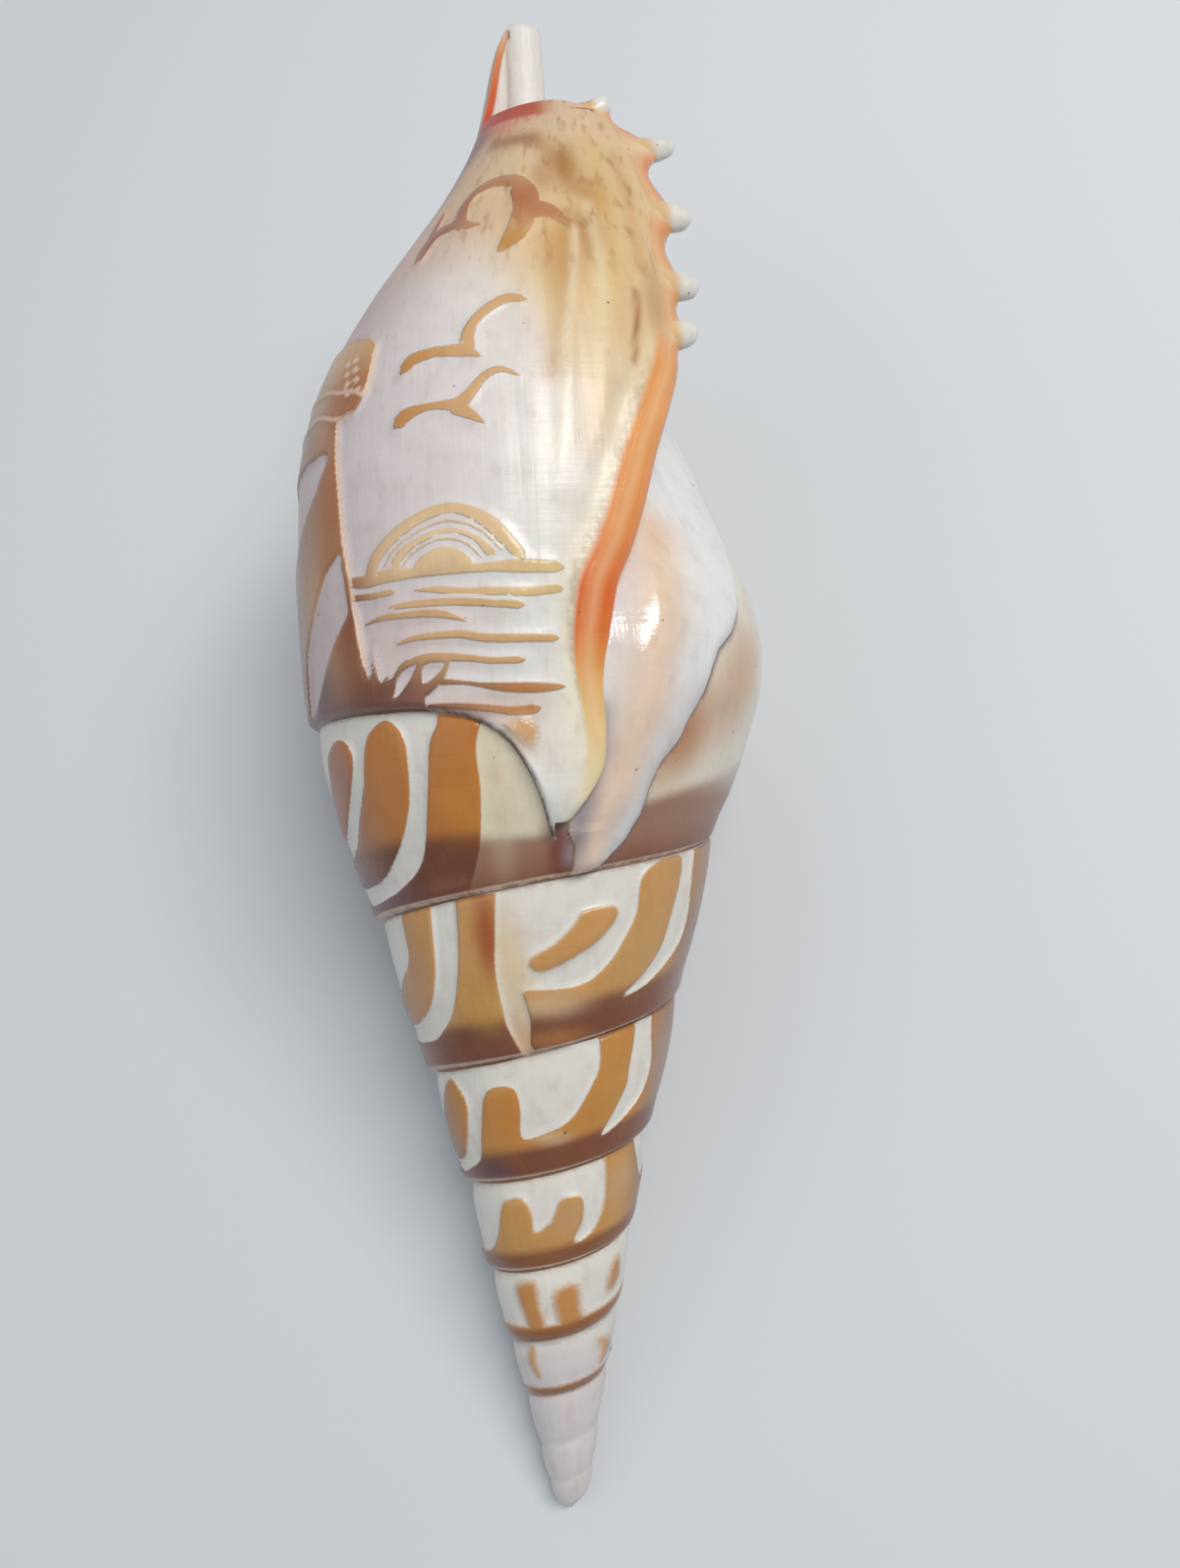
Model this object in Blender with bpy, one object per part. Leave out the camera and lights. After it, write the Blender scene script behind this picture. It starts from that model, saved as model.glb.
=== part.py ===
"""Carved tibia shell: one grown piece, lying on its body whorl and on the tip of its spire.

The shell is worked out about its coiling axis in millimetres. Heights run from the apex
to the tip of the siphonal canal, and turns are counted so that turn 7 passes the left side.
The finished solid is laid on the floor, +Y towards the canal and +X towards the aperture.
"""

import math

import bmesh
import bpy
import numpy as np
from mathutils import Matrix, Vector

MM = 0.001
NODE = "tibia_shell"

# Driving sizes, millimetres and degrees
LENGTH = 150.0
LIP_ANGLE = 5.0
WALL = 1.8
WALL_LEAST = 0.4
HOLLOW_LEAST = 0.25
SUTURE_GROOVE = 0.30
SEAT_STEP = 0.9
SEAT_RISE = 0.35
CANAL_SHIFT = 3.2
CANAL_BEND = (118.0, 144.0)
REST_ROLL = 8.5
REST_TILT = 14.5
# Moves the rolled and tilted shell so that its worn flats lie on the floor, centred on the origin
FLOOR_SHIFT = (-0.96, -72.93, 0.96)

# Turns of the spire and of the body whorl
FIRST_TURN = -2.2
LAST_TURN = 7.0 + (LIP_ANGLE + 90.0) / 360.0
SEATED_FROM = 6.8

# Height of the suture, by turn: it dips at the end into the pointed lobe
SUTURE = [
    (-3.2, -1.4), (-2, 0.7), (-1, 3.0), (0, 6.7), (1, 11.7), (2, 17.2), (3, 24.2), (4, 32.9), (5, 43.9),
    (6, 58.7), (6.26, 62.9), (6.5, 66.0), (6.75, 72.0), (6.9, 76.2), (7.0, 78.2), (7.1, 78.4),
    (7.17, 78.1), (7.21, 77.2), (7.235, 75.3), (7.252, 71.5), (LAST_TURN, 66.6),
]
# Radius of the cone through the sutures, by height
CONE = [
    (0, 0.75), (1.2, 1.45), (3, 2.0), (6.7, 2.75), (11.7, 3.75), (17.2, 5.0), (24.2, 6.55),
    (32.9, 8.3), (43.9, 11.2), (58.7, 15.3), (65.8, 17.5), (78.7, 21.0), (100, 26),
]
SPIRE_BULGE = 0.15
SPIRE_ENDS = (5.8, 6.1)
# Outlines of the body whorl, by turn: radius by height
BODY = {
    5.5: [(50.2, 12.9), (58, 16.4), (65.8, 17.6), (72, 17.4), (80, 15.0), (90, 11.5), (100, 8.5),
          (115, 5.5), (130, 3.2), (140, 2.2), (150, 2.0)],
    6.0: [(58.7, 15.5), (64, 17.5), (70, 19.3), (76, 20.5), (82, 20.4), (88, 18.8), (95, 15.6),
          (103, 11.6), (113, 8.0), (125, 4.6), (138, 2.3), (150, 2.0)],
    6.5: [(58, 14.8), (65.8, 17.6), (70.2, 20.0), (75.2, 22.0), (80.2, 23.6), (84.5, 24.0), (88.5, 23.4),
          (92.2, 22.1), (97.8, 19.7), (104.5, 16.9), (111, 12.8), (118, 9.3), (125, 6.3), (131, 3.6),
          (138, 2.3), (150, 2.0)],
    6.75: [(60, 15.8), (72, 19.5), (78.7, 21.6), (85, 22.7), (91, 22.7), (97, 21.8), (103, 19.8),
           (108, 17.5), (113, 14.8), (118, 11.9), (123, 8.9), (128, 6.4), (133, 4.8), (138, 3.8),
           (143, 3.2), (150, 2.1)],
    7.0: [(66, 17.8), (78.7, 21.1), (81, 21.6), (85, 21.8), (93, 21.9), (99, 21.6), (103, 21.0),
          (108, 19.7), (113, 17.6), (118, 14.8), (123, 11.5), (128, 8.2), (133, 6.1), (138, 5.0),
          (143, 4.1), (148, 2.8), (150, 1.9)],
    7.1: [(66, 18.8), (78.7, 21.6), (81, 22.1), (85, 22.4), (93, 22.6), (99, 22.5), (103, 21.9),
          (108, 20.7), (113, 18.6), (118, 15.7), (123, 12.2), (128, 9.0), (133, 6.8), (138, 5.4),
          (143, 4.3), (148, 2.9), (150, 1.9)],
    7.25: [(66, 20.4), (73, 21.9), (79, 22.9), (84, 23.9), (90, 24.6), (97, 24.9), (104, 24.4),
           (110, 23.2), (116, 21.0), (122, 18.2), (128, 14.8), (134, 11.4), (138, 9.4), (143, 7.0),
           (150, 4.0)],
    7.4: [(66, 21.5), (79, 23.4), (84, 24.2), (90, 25.0), (97, 25.3), (104, 25.0), (110, 24.2),
          (116, 23.0), (122, 21.6), (128, 19.6), (134, 16.6), (138, 14.0), (143, 10.0), (150, 5.0)],
}

# Edge of the outer lip, by its share from the lobe to the canal tip: angle and height
LIP_EDGE = [
    (0.0, LIP_ANGLE, 66.6), (0.075, 13.0, 73.2), (0.155, 10.3, 82.0), (0.20, 11.5, 86.7),
    (0.25, 16.0, 91.0), (0.33, 22.7, 99.0), (0.42, 32.0, 107.8), (0.49, 35.3, 113.4), (0.55, 36.5, 119.0),
    (0.61, 38.0, 125.0), (0.665, 36.5, 129.8), (0.70, 33.0, 132.8), (0.735, 27.0, 134.8),
    (0.78, 8.0, 135.8), (0.82, -12.0, 136.4), (0.855, -32.0, 136.8), (0.90, -55.0, 140.0),
    (1.0, -62.0, LENGTH),
]
# Rows across the body whorl on the side away from the lip, by the same share
FAR_ROWS = [
    (0, 0), (0.155, 0.11), (0.33, 0.30), (0.49, 0.47), (0.61, 0.61), (0.70, 0.695), (0.735, 0.73),
    (0.855, 0.82), (0.90, 0.865), (1, 1),
]
LIP_THICKNESS = [(0, 0.9), (0.08, 1.6), (0.2, 2.8), (0.45, 2.8), (0.6, 2.0), (0.75, 1.6), (0.86, 1.0), (1, 0.7)]
LIP_REACH = [(0, 0.5), (0.07, 1.6), (0.2, 3.4), (0.4, 3.2), (0.5, 1.6), (0.7, 1.2), (0.8, 0.8), (1, 0.3)]
FRONT_MARGIN = (0.70, 0.76, 0.86, 0.93)
HOLLOW_TURNS = (0.55, 0.16)
HOLLOW_NARROWS = (0.60, 0.80)
CANAL_WIDTH = 0.07
# Least rise of the rows over the lobe, as a share of the way to the canal for each share of the lip
LOBE_ROW_RISE = 0.05

# Points along the lip: where each rises, and the angle and height of its tip
LIP_POINTS = [
    (0.445, 44.8, 110.6), (0.515, 49.9, 115.6), (0.592, 54.3, 123.2), (0.665, 60.0, 132.4), (0.728, 35.0, 136.2),
]
POINT_RADII = (1.05, 0.5)

# Fineness of the loft
COLUMNS_NEAR_LIP = [0.0, 2.5, 5.0, 8.0, 12.0, 17.0, 23.0, 30.0, 38.0, 47.0]
COLUMNS_REST = 35
SPIRE_ROWS = [0.0, 0.05, 0.20, 0.42, 0.66, 0.90, 1.0]
BODY_ROWS = 30
LIP_STEPS = 4
HOLLOW_STEPS = 10

SHELL_COLOUR = (0.80, 0.62, 0.45, 1.0)
SHELL_ROUGHNESS = 0.3


def outline(points):
    """A smooth curve through the points that never overshoots them."""
    x, y = np.array(points, float).T
    step = np.diff(x)
    rise = np.diff(y) / step
    slope = np.zeros(len(x))
    slope[0], slope[-1] = rise[0], rise[-1]
    for k in range(1, len(x) - 1):
        if rise[k - 1] * rise[k] > 0:
            before = 2 * step[k] + step[k - 1]
            after = step[k] + 2 * step[k - 1]
            slope[k] = (before + after) / (before / rise[k - 1] + after / rise[k])

    def at(value):
        value = min(max(value, x[0]), x[-1])
        k = min(int(np.searchsorted(x, value, side="right")) - 1, len(step) - 1)
        u = (value - x[k]) / step[k]
        return (
            y[k] * (1 + 2 * u) * (1 - u) ** 2
            + step[k] * slope[k] * u * (1 - u) ** 2
            + y[k + 1] * u * u * (3 - 2 * u)
            + step[k] * slope[k + 1] * u * u * (u - 1)
        )

    return at


def ease(low, high, value):
    """0 below low, 1 above high, smooth between."""
    u = min(max((value - low) / (high - low), 0.0), 1.0)
    return u * u * (3 - 2 * u)


suture = outline(SUTURE)
cone = outline(CONE)
body_turns = sorted(BODY)
body_outlines = [outline(BODY[turn]) for turn in body_turns]
edge_angle = outline([(share, angle) for share, angle, _ in LIP_EDGE])
edge_height = outline([(share, height) for share, _, height in LIP_EDGE])
far_row = outline(FAR_ROWS)
lip_thickness = outline(LIP_THICKNESS)
lip_reach = outline(LIP_REACH)


def spire_radius(turn, height):
    """Radius of a spire whorl: the cone, and a swelling between its two sutures."""
    low, high = suture(turn), suture(turn + 1)
    share = min(max((height - low) / (high - low), 0.0), 1.0)
    return cone(height) + SPIRE_BULGE * (cone(high) - cone(low)) * math.sin(math.pi * share) ** 0.9


def body_radius(turn, height):
    """Radius of the body whorl, blended between the outlines on each side of the turn."""
    values = [line(height) for line in body_outlines]
    gaps = np.diff(body_turns)
    rise = np.diff(values) / gaps
    slope = np.empty(len(values))
    slope[0], slope[-1] = rise[0], rise[-1]
    slope[1:-1] = (rise[:-1] * gaps[:-1] + rise[1:] * gaps[1:]) / (gaps[:-1] + gaps[1:])
    turn = min(max(turn, body_turns[0]), body_turns[-1])
    k = min(int(np.searchsorted(body_turns, turn, side="right")) - 1, len(gaps) - 1)
    u = (turn - body_turns[k]) / gaps[k]
    return (
        values[k] * (1 + 2 * u) * (1 - u) ** 2
        + gaps[k] * slope[k] * u * (1 - u) ** 2
        + values[k + 1] * u * u * (3 - 2 * u)
        + gaps[k] * slope[k + 1] * u * u * (u - 1)
    )


def whorl_radius(turn, height):
    """Radius of the outer surface. The last part is thin where it sits on the whorl before."""
    share = ease(*SPIRE_ENDS, turn)
    spire = spire_radius(min(turn, 6.2), height) if share < 1 else 0.0
    radius = (1 - share) * spire + (share * body_radius(turn, height) if share > 0 else 0.0)
    if turn > SEATED_FROM:
        above = max(height - suture(min(turn, LAST_TURN)), 0.0)
        seat = whorl_radius(turn - 1, height) + SEAT_STEP + SEAT_RISE * above
        radius = min(radius, seat)
    return radius


def angle_of(turn):
    """Angle round the axis in radians: 0 at the top of the photo's view, 90 degrees on the right."""
    return 2 * math.pi * (turn - 7) - math.pi / 2


def place(turn, height, radius):
    """A point on the shell in its own axes: right, towards the canal, up."""
    angle = angle_of(turn)
    middle = CANAL_SHIFT * ease(*CANAL_BEND, height)
    return (middle + radius * math.sin(angle), height, radius * math.cos(angle))


def column_shares():
    """Share of a turn of each column, from a turn before the lip up to the lip."""
    last = COLUMNS_NEAR_LIP[-1]
    rest = [last + (360 - last) * k / COLUMNS_REST for k in range(1, COLUMNS_REST + 1)]
    return [1 - back / 360 for back in reversed(COLUMNS_NEAR_LIP + rest)]


class ShellLoft:
    """The closed skin: whorls, lip, hollow and canal, as one mesh."""

    def __init__(self):
        self.mesh = bmesh.new()
        self.shares = column_shares()
        self.per_turn = len(self.shares) - 1
        self.turns = self.turn_of_each_column()
        self.last = len(self.turns) - 1
        self.start = self.last - self.per_turn
        self.low = len(SPIRE_ROWS) - 1
        self.steps = [k / BODY_ROWS for k in range(BODY_ROWS + 1)]

    def turn_of_each_column(self):
        turns = []
        back = 0
        while not turns or turns[-1] > FIRST_TURN:
            turns += [LAST_TURN - back + share - 1 for share in reversed(self.shares[1:])]
            back += 1
        return [turn for turn in reversed(turns) if turn > FIRST_TURN]

    def add(self, turn, height, radius):
        return self.mesh.verts.new(place(turn, height, radius))

    def lift(self, share):
        """Height of the body's first row over the suture."""
        over_lobe = suture(LAST_TURN) - suture(LAST_TURN - 1)
        near = (1 - share) ** 1.2
        return over_lobe * near + 1.2 * (1 - near)

    def whorl_rows(self):
        """The helical strip of whorls: its top row is the first row of the whorl above."""
        rows = []
        for i, turn in enumerate(self.turns):
            low = suture(turn)
            if i <= self.start:
                high = suture(turn + 1)
            else:
                high = low + self.lift(self.shares[i - self.start])
            column = []
            for share in SPIRE_ROWS[:-1] if i <= self.start else SPIRE_ROWS:
                height = low + (high - low) * share
                if share > 0:
                    radius = whorl_radius(turn, height)
                elif turn > SEATED_FROM:
                    radius = whorl_radius(turn - 1, height) - SUTURE_GROOVE / 2
                else:
                    radius = whorl_radius(turn, height) - SUTURE_GROOVE * min(1.0, cone(height) / 8)
                column.append(self.add(turn, height, radius))
            rows.append(column)
        for i in range(self.start + 1):
            rows[i].append(rows[i + self.per_turn][0])
        return rows

    def body_turn(self, step, share):
        canal = CANAL_WIDTH * ease(0.85, 1.0, step)
        return 7 + (edge_angle(step) + 90) / 360 - 1 + canal * (1 - share) + share

    def body_height(self, step, share):
        """Height of a row of the body whorl. It starts at the suture, so the lobe stays over its own foot."""
        foot = suture(LAST_TURN - 1 + share) + self.lift(share)
        lobe = edge_height(0.0) + self.lift(1.0)
        near = max((edge_height(step) - lobe) / (LENGTH - lobe), LOBE_ROW_RISE * step)
        leave = ease(0.0, 0.30, share)
        reach = ease(0.72, 1.0, share)
        up = (1 - leave) * near + leave * ((1 - reach) * far_row(step) + reach * near)
        return foot + (LENGTH - foot) * up

    def body_rows(self, rows):
        """Carries the last turn's columns from the whorl strip up to the tip of the canal."""
        for i in range(self.start, self.last + 1):
            share = self.shares[i - self.start]
            for step in self.steps[1:]:
                turn = self.body_turn(step, share)
                height = self.body_height(step, share)
                rows[i].append(self.add(turn, height, whorl_radius(turn, height)))

    def lip_rows(self, rows):
        """The rounded lip, from the outer surface round to the inside of the wall."""
        lip = []
        for k, step in enumerate(self.steps):
            edge = rows[self.last][self.low + k]
            angle = angle_of(self.body_turn(step, 1.0))
            outward = Vector((math.sin(angle), 0, math.cos(angle)))
            forward = Vector((math.cos(angle), 0, -math.sin(angle)))
            start, full, leave, end = FRONT_MARGIN
            front = ease(start, full, step) * (1 - ease(leave, end, step))
            forward = forward.lerp(Vector((0, 1, 0)), front).normalized()
            line = [edge]
            for q in range(1, LIP_STEPS + 1):
                bend = math.pi * q / LIP_STEPS
                reach = lip_reach(step) * max(math.sin(bend), 0.0) ** 0.8
                depth = lip_thickness(step) * (1 - math.cos(bend)) / 2
                line.append(self.mesh.verts.new(edge.co + forward * reach - outward * depth))
            lip.append(line)
        return lip

    def hollow_rows(self, rows, lip):
        """Both walls of the hollow: the inside of the last whorl, and the whorl before."""
        deep, shallow = HOLLOW_TURNS
        inner, before = [], []
        for k, step in enumerate(self.steps):
            depth = deep + (shallow - deep) * ease(*HOLLOW_NARROWS, step)
            inner_line = [lip[k][-1]]
            before_line = [rows[self.start][self.low + k]]
            for q in range(1, HOLLOW_STEPS + 1):
                back = depth * q / HOLLOW_STEPS
                turn = self.body_turn(step, 1.0) - back
                below = self.body_turn(step, 0.0) - back
                height = self.body_height(step, 1 - back)
                settle = min(1.0, q / 3)
                wall = lip_thickness(step) * (1 - settle) + self.wall(step) * settle
                outer_radius = whorl_radius(turn, height)
                floor_radius = whorl_radius(below, height)
                gap = max(outer_radius - wall - floor_radius, HOLLOW_LEAST)
                gap *= 1 - 0.8 * ease(0.8, 1.0, q / HOLLOW_STEPS)
                floor_radius = min(floor_radius, outer_radius - WALL_LEAST - gap)
                inner_line.append(self.add(turn, height, floor_radius + gap))
                before_line.append(self.add(below, height, floor_radius))
            inner.append(inner_line)
            before.append(before_line)
        return inner, before

    def wall(self, step):
        """The wall thins along the canal."""
        return WALL if step < 0.75 else max(0.7, WALL - 6 * (step - 0.75))

    def strip(self, one, other):
        """Faces between two lines of points of equal length."""
        for a, b, c, d in zip(one, other, other[1:], one[1:]):
            self.mesh.faces.new((a, b, c, d))

    def build(self):
        rows = self.whorl_rows()
        self.body_rows(rows)
        lip = self.lip_rows(rows)
        inner, before = self.hollow_rows(rows, lip)
        for i in range(self.last):
            top = len(rows[i]) if i >= self.start else self.low + 1
            self.strip(rows[i][:top], rows[i + 1][:top])
        for k in range(BODY_ROWS):
            self.strip(lip[k + 1], lip[k])
            self.strip(inner[k + 1], inner[k])
            self.strip(before[k], before[k + 1])
            self.mesh.faces.new((inner[k][-1], before[k][-1], before[k + 1][-1], inner[k + 1][-1]))
        self.mesh.faces.new(list(reversed(rows[self.last][: self.low + 1] + lip[0][1:])))
        self.strip(inner[0], before[0])
        tip = [rows[i][-1] for i in range(self.start, self.last + 1)] + lip[-1][1:]
        tip += inner[-1][1:] + list(reversed(before[-1][1:]))
        self.mesh.faces.new(tip)
        self.close_apex(rows)
        bmesh.ops.triangulate(self.mesh, faces=self.mesh.faces[:])
        bmesh.ops.recalc_face_normals(self.mesh, faces=self.mesh.faces[:])
        return self.mesh

    def close_apex(self, rows):
        """A small fan over the first turn."""
        pole = self.mesh.verts.new((0, 0, 0))
        ring = [rows[i][0] for i in range(self.per_turn + 1)] + list(reversed(rows[0][1:-1]))
        for one, other in zip(ring, ring[1:] + ring[:1]):
            self.mesh.faces.new((pole, other, one))


def rest_frame():
    """Shell axes to the floor's axes: rolled, then tilted until body whorl and spire both touch."""
    roll = Matrix.Rotation(math.radians(REST_ROLL), 4, "Y")
    tilt = Matrix.Rotation(math.radians(REST_TILT), 4, "X")
    return Matrix.Scale(MM, 4) @ tilt @ roll


def shell_material():
    material = bpy.data.materials.new("shell_lime")
    material.use_nodes = True
    shader = material.node_tree.nodes["Principled BSDF"]
    shader.inputs["Base Color"].default_value = SHELL_COLOUR
    shader.inputs["Roughness"].default_value = SHELL_ROUGHNESS
    shader.inputs["Metallic"].default_value = 0.0
    material.diffuse_color = SHELL_COLOUR
    return material


def add_shell(collection):
    skin = ShellLoft().build()
    mesh = bpy.data.meshes.new(NODE)
    skin.to_mesh(mesh)
    skin.free()
    mesh.shade_smooth()
    mesh.materials.append(shell_material())
    mesh.transform(rest_frame())
    shell = bpy.data.objects.new(NODE, mesh)
    collection.objects.link(shell)
    return shell


def add_lip_point(number, share, angle, height, collection):
    """One blunt point of the lip, as a cone from inside the lip's edge to its tip."""
    loft_turn = 7 + (edge_angle(share) + 90) / 360
    base = Vector(place(loft_turn, edge_height(share), whorl_radius(loft_turn, edge_height(share)) - 1.1))
    tip_turn = 7 + (angle + 90) / 360
    tip = Vector(place(tip_turn, height, whorl_radius(tip_turn, height)))
    base, tip = rest_frame() @ base, rest_frame() @ tip
    bpy.ops.mesh.primitive_cone_add(
        vertices=10, radius1=POINT_RADII[0] * MM, radius2=POINT_RADII[1] * MM, depth=(tip - base).length
    )
    point = bpy.context.object
    point.name = f"lip_point_{number}"
    point.location = (base + tip) / 2
    point.rotation_euler = (tip - base).to_track_quat("Z", "Y").to_euler()
    move_to(point, collection)
    return point


def add_floor_cutter(collection):
    """A block whose top is the floor: it grinds the small worn flats the shell rests on."""
    bpy.ops.mesh.primitive_cube_add(size=1)
    block = bpy.context.object
    block.name = "floor_cutter"
    block.dimensions = (0.2, 0.4, 0.02)
    block.location = (0, 0, -0.01)
    move_to(block, collection)
    return block


def move_to(item, collection):
    for other in list(item.users_collection):
        other.objects.unlink(item)
    collection.objects.link(item)
    item.display_type = "WIRE"


def join_and_cut(shell, points, block):
    for point in points:
        union = shell.modifiers.new(point.name, "BOOLEAN")
        union.operation = "UNION"
        union.solver = "EXACT"
        union.object = point
    ground = shell.modifiers.new("worn_flats", "BOOLEAN")
    ground.operation = "DIFFERENCE"
    ground.solver = "EXACT"
    ground.object = block


def main():
    for item in list(bpy.data.objects):
        bpy.data.objects.remove(item, do_unlink=True)
    shells = bpy.data.collections.new("carved_tibia_shell")
    cutters = bpy.data.collections.new("cutters")
    bpy.context.scene.collection.children.link(shells)
    bpy.context.scene.collection.children.link(cutters)
    cutters.hide_render = True
    shell = add_shell(shells)
    points = [add_lip_point(k + 1, *point, cutters) for k, point in enumerate(LIP_POINTS)]
    for item in [shell, *points]:
        item.location += Vector(FLOOR_SHIFT) * MM
    join_and_cut(shell, points, add_floor_cutter(cutters))


main()
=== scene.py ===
"""Looks of the carved tibia shell: its skin, the carved brown layer, the lip, its points and the callus.

The skin is worked out about the shell's coiling axis in millimetres, as turn, height and radius. Heights run
from the apex to the tip of the canal. Turn 7 passes the left side of the photo's view. Figures are drawn
as angle in degrees and height in millimetres on one whorl.
"""
import itertools
import logging
import math
from collections.abc import Sequence
from dataclasses import dataclass, field
from enum import Enum

import bpy
import numpy as np
from mathutils import Matrix, Vector


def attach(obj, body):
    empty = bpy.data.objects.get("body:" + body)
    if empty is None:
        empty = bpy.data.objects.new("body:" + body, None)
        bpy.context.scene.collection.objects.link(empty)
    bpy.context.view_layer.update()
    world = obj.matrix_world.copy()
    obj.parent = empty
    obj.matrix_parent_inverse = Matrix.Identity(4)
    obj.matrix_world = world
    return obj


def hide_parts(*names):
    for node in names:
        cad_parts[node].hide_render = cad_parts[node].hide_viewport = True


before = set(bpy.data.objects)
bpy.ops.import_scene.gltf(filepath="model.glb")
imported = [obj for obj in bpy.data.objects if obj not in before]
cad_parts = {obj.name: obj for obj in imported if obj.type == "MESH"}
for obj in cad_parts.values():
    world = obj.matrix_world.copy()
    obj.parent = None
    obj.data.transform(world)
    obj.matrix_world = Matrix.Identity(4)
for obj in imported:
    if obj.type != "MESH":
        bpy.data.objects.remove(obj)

LOG = logging.getLogger("tibia_shell")
NODE = "tibia_shell"
BODY = "root"
MM = 0.001

Points = Sequence[tuple[float, ...]]
Span = tuple[float, float]
Codes = Sequence[tuple[float, str]]
Faces = list[tuple[int, ...]]
Array = np.ndarray
Socket = bpy.types.NodeSocket

# Sizes shared with the solid, millimetres and degrees
LENGTH = 150.0
LIP_ANGLE = 5.0
LAST_TURN = 7.0 + (LIP_ANGLE + 90.0) / 360.0
FIRST_TURN = -2.2
SEATED_FROM = 6.8
REST_ROLL = 8.5
REST_TILT = 14.5
FLOOR_SHIFT = (-0.96, -72.93, 0.96)

# Number of the whorl that ends at the lip
LAST_WHORL = 7
# Millimetres given where there is no suture near, and the usual half width of a figure's soft edge
FAR = 60.0
EDGE_SOFT = 0.09

# The photo's camera in the shell's axes: position, and the directions right, down and forward
CAMERA_AT = (0.0, 67.194, 120.0)
CAMERA_RIGHT = (0.99725837, -0.0571159, 0.04704798)
CAMERA_DOWN = (-0.05525619, -0.99767372, -0.03992378)
CAMERA_FORWARD = (0.04921881, 0.03721463, -0.99809447)
SENSOR = 36.0
LENS = SENSOR * 1200 / 1594


def tone(code: str) -> Array:
    """The linear colour of a six-digit screen colour."""
    screen = np.array([int(code[k : k + 2], 16) / 255 for k in (0, 2, 4)])
    return np.where(screen <= 0.04045, screen / 12.92, ((screen + 0.055) / 1.055) ** 2.4)


def ease(low: float, high: float, value: Array | float) -> Array:
    """0 below low, 1 above high, smooth between."""
    share = np.clip((np.asarray(value, float) - low) / (high - low), 0.0, 1.0)
    return share * share * (3 - 2 * share)


def blend(one: Array, other: Array, share: Array) -> Array:
    """Mixes two colours, point by point."""
    return one + (other - one) * np.asarray(share)[..., None]


def fall(low: float, high: float, value: Array | float) -> Array:
    """1 below low, 0 above high, smooth between."""
    return 1 - ease(low, high, value)


def bell(value: Array, width: float) -> Array:
    """1 at 0, falling away smoothly over the width to both sides."""
    return np.exp(-((value / width) ** 2))


def between(codes: Codes, value: Array) -> Array:
    """Colour at each value, run evenly from one listed colour to the next."""
    at = [place for place, _ in codes]
    tones = np.array([tone(code) for _, code in codes])
    return np.stack([np.interp(value, at, tones[:, k]) for k in range(3)], -1)


def turn_of(whorl: int, angle: Array | float) -> Array | float:
    """Turn of an angle in degrees on a whorl."""
    return whorl + (angle + 90) / 360


class Curve:
    """A smooth curve through points that never overshoots them."""

    def __init__(self, points: Points) -> None:
        """Takes (x, y) points in order of x."""
        self.x, self.y = np.array(points, float).T
        self.step = np.diff(self.x)
        rise = np.diff(self.y) / self.step
        self.slope = np.zeros(len(self.x))
        self.slope[0], self.slope[-1] = rise[0], rise[-1]
        for k in range(1, len(self.x) - 1):
            if rise[k - 1] * rise[k] > 0:
                before = 2 * self.step[k] + self.step[k - 1]
                after = self.step[k] + 2 * self.step[k - 1]
                self.slope[k] = (before + after) / (before / rise[k - 1] + after / rise[k])

    def __call__(self, value: Array | float) -> Array:
        """The curve's y at each x."""
        value = np.clip(np.asarray(value, float), self.x[0], self.x[-1])
        k = np.clip(np.searchsorted(self.x, value, side="right") - 1, 0, len(self.step) - 1)
        u = (value - self.x[k]) / self.step[k]
        return (
            self.y[k] * (1 + 2 * u) * (1 - u) ** 2
            + self.step[k] * self.slope[k] * u * (1 - u) ** 2
            + self.y[k + 1] * u * u * (3 - 2 * u)
            + self.step[k] * self.slope[k + 1] * u * u * (u - 1)
        )


# Height of the suture, by turn
SUTURE = Curve([
    (-3.2, -1.4), (-2, 0.7), (-1, 3.0), (0, 6.7), (1, 11.7), (2, 17.2), (3, 24.2), (4, 32.9), (5, 43.9),
    (6, 58.7), (6.26, 62.9), (6.5, 66.0), (6.75, 72.0), (6.9, 76.2), (7.0, 78.2), (7.1, 78.4),
    (7.17, 78.1), (7.21, 77.2), (7.235, 75.3), (7.252, 71.5), (LAST_TURN, 66.6),
])
# Radius of the cone through the sutures, by height
CONE = Curve([
    (0, 0.75), (1.2, 1.45), (3, 2.0), (6.7, 2.75), (11.7, 3.75), (17.2, 5.0), (24.2, 6.55),
    (32.9, 8.3), (43.9, 11.2), (58.7, 15.3), (65.8, 17.5), (78.7, 21.0), (100, 26),
])
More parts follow.
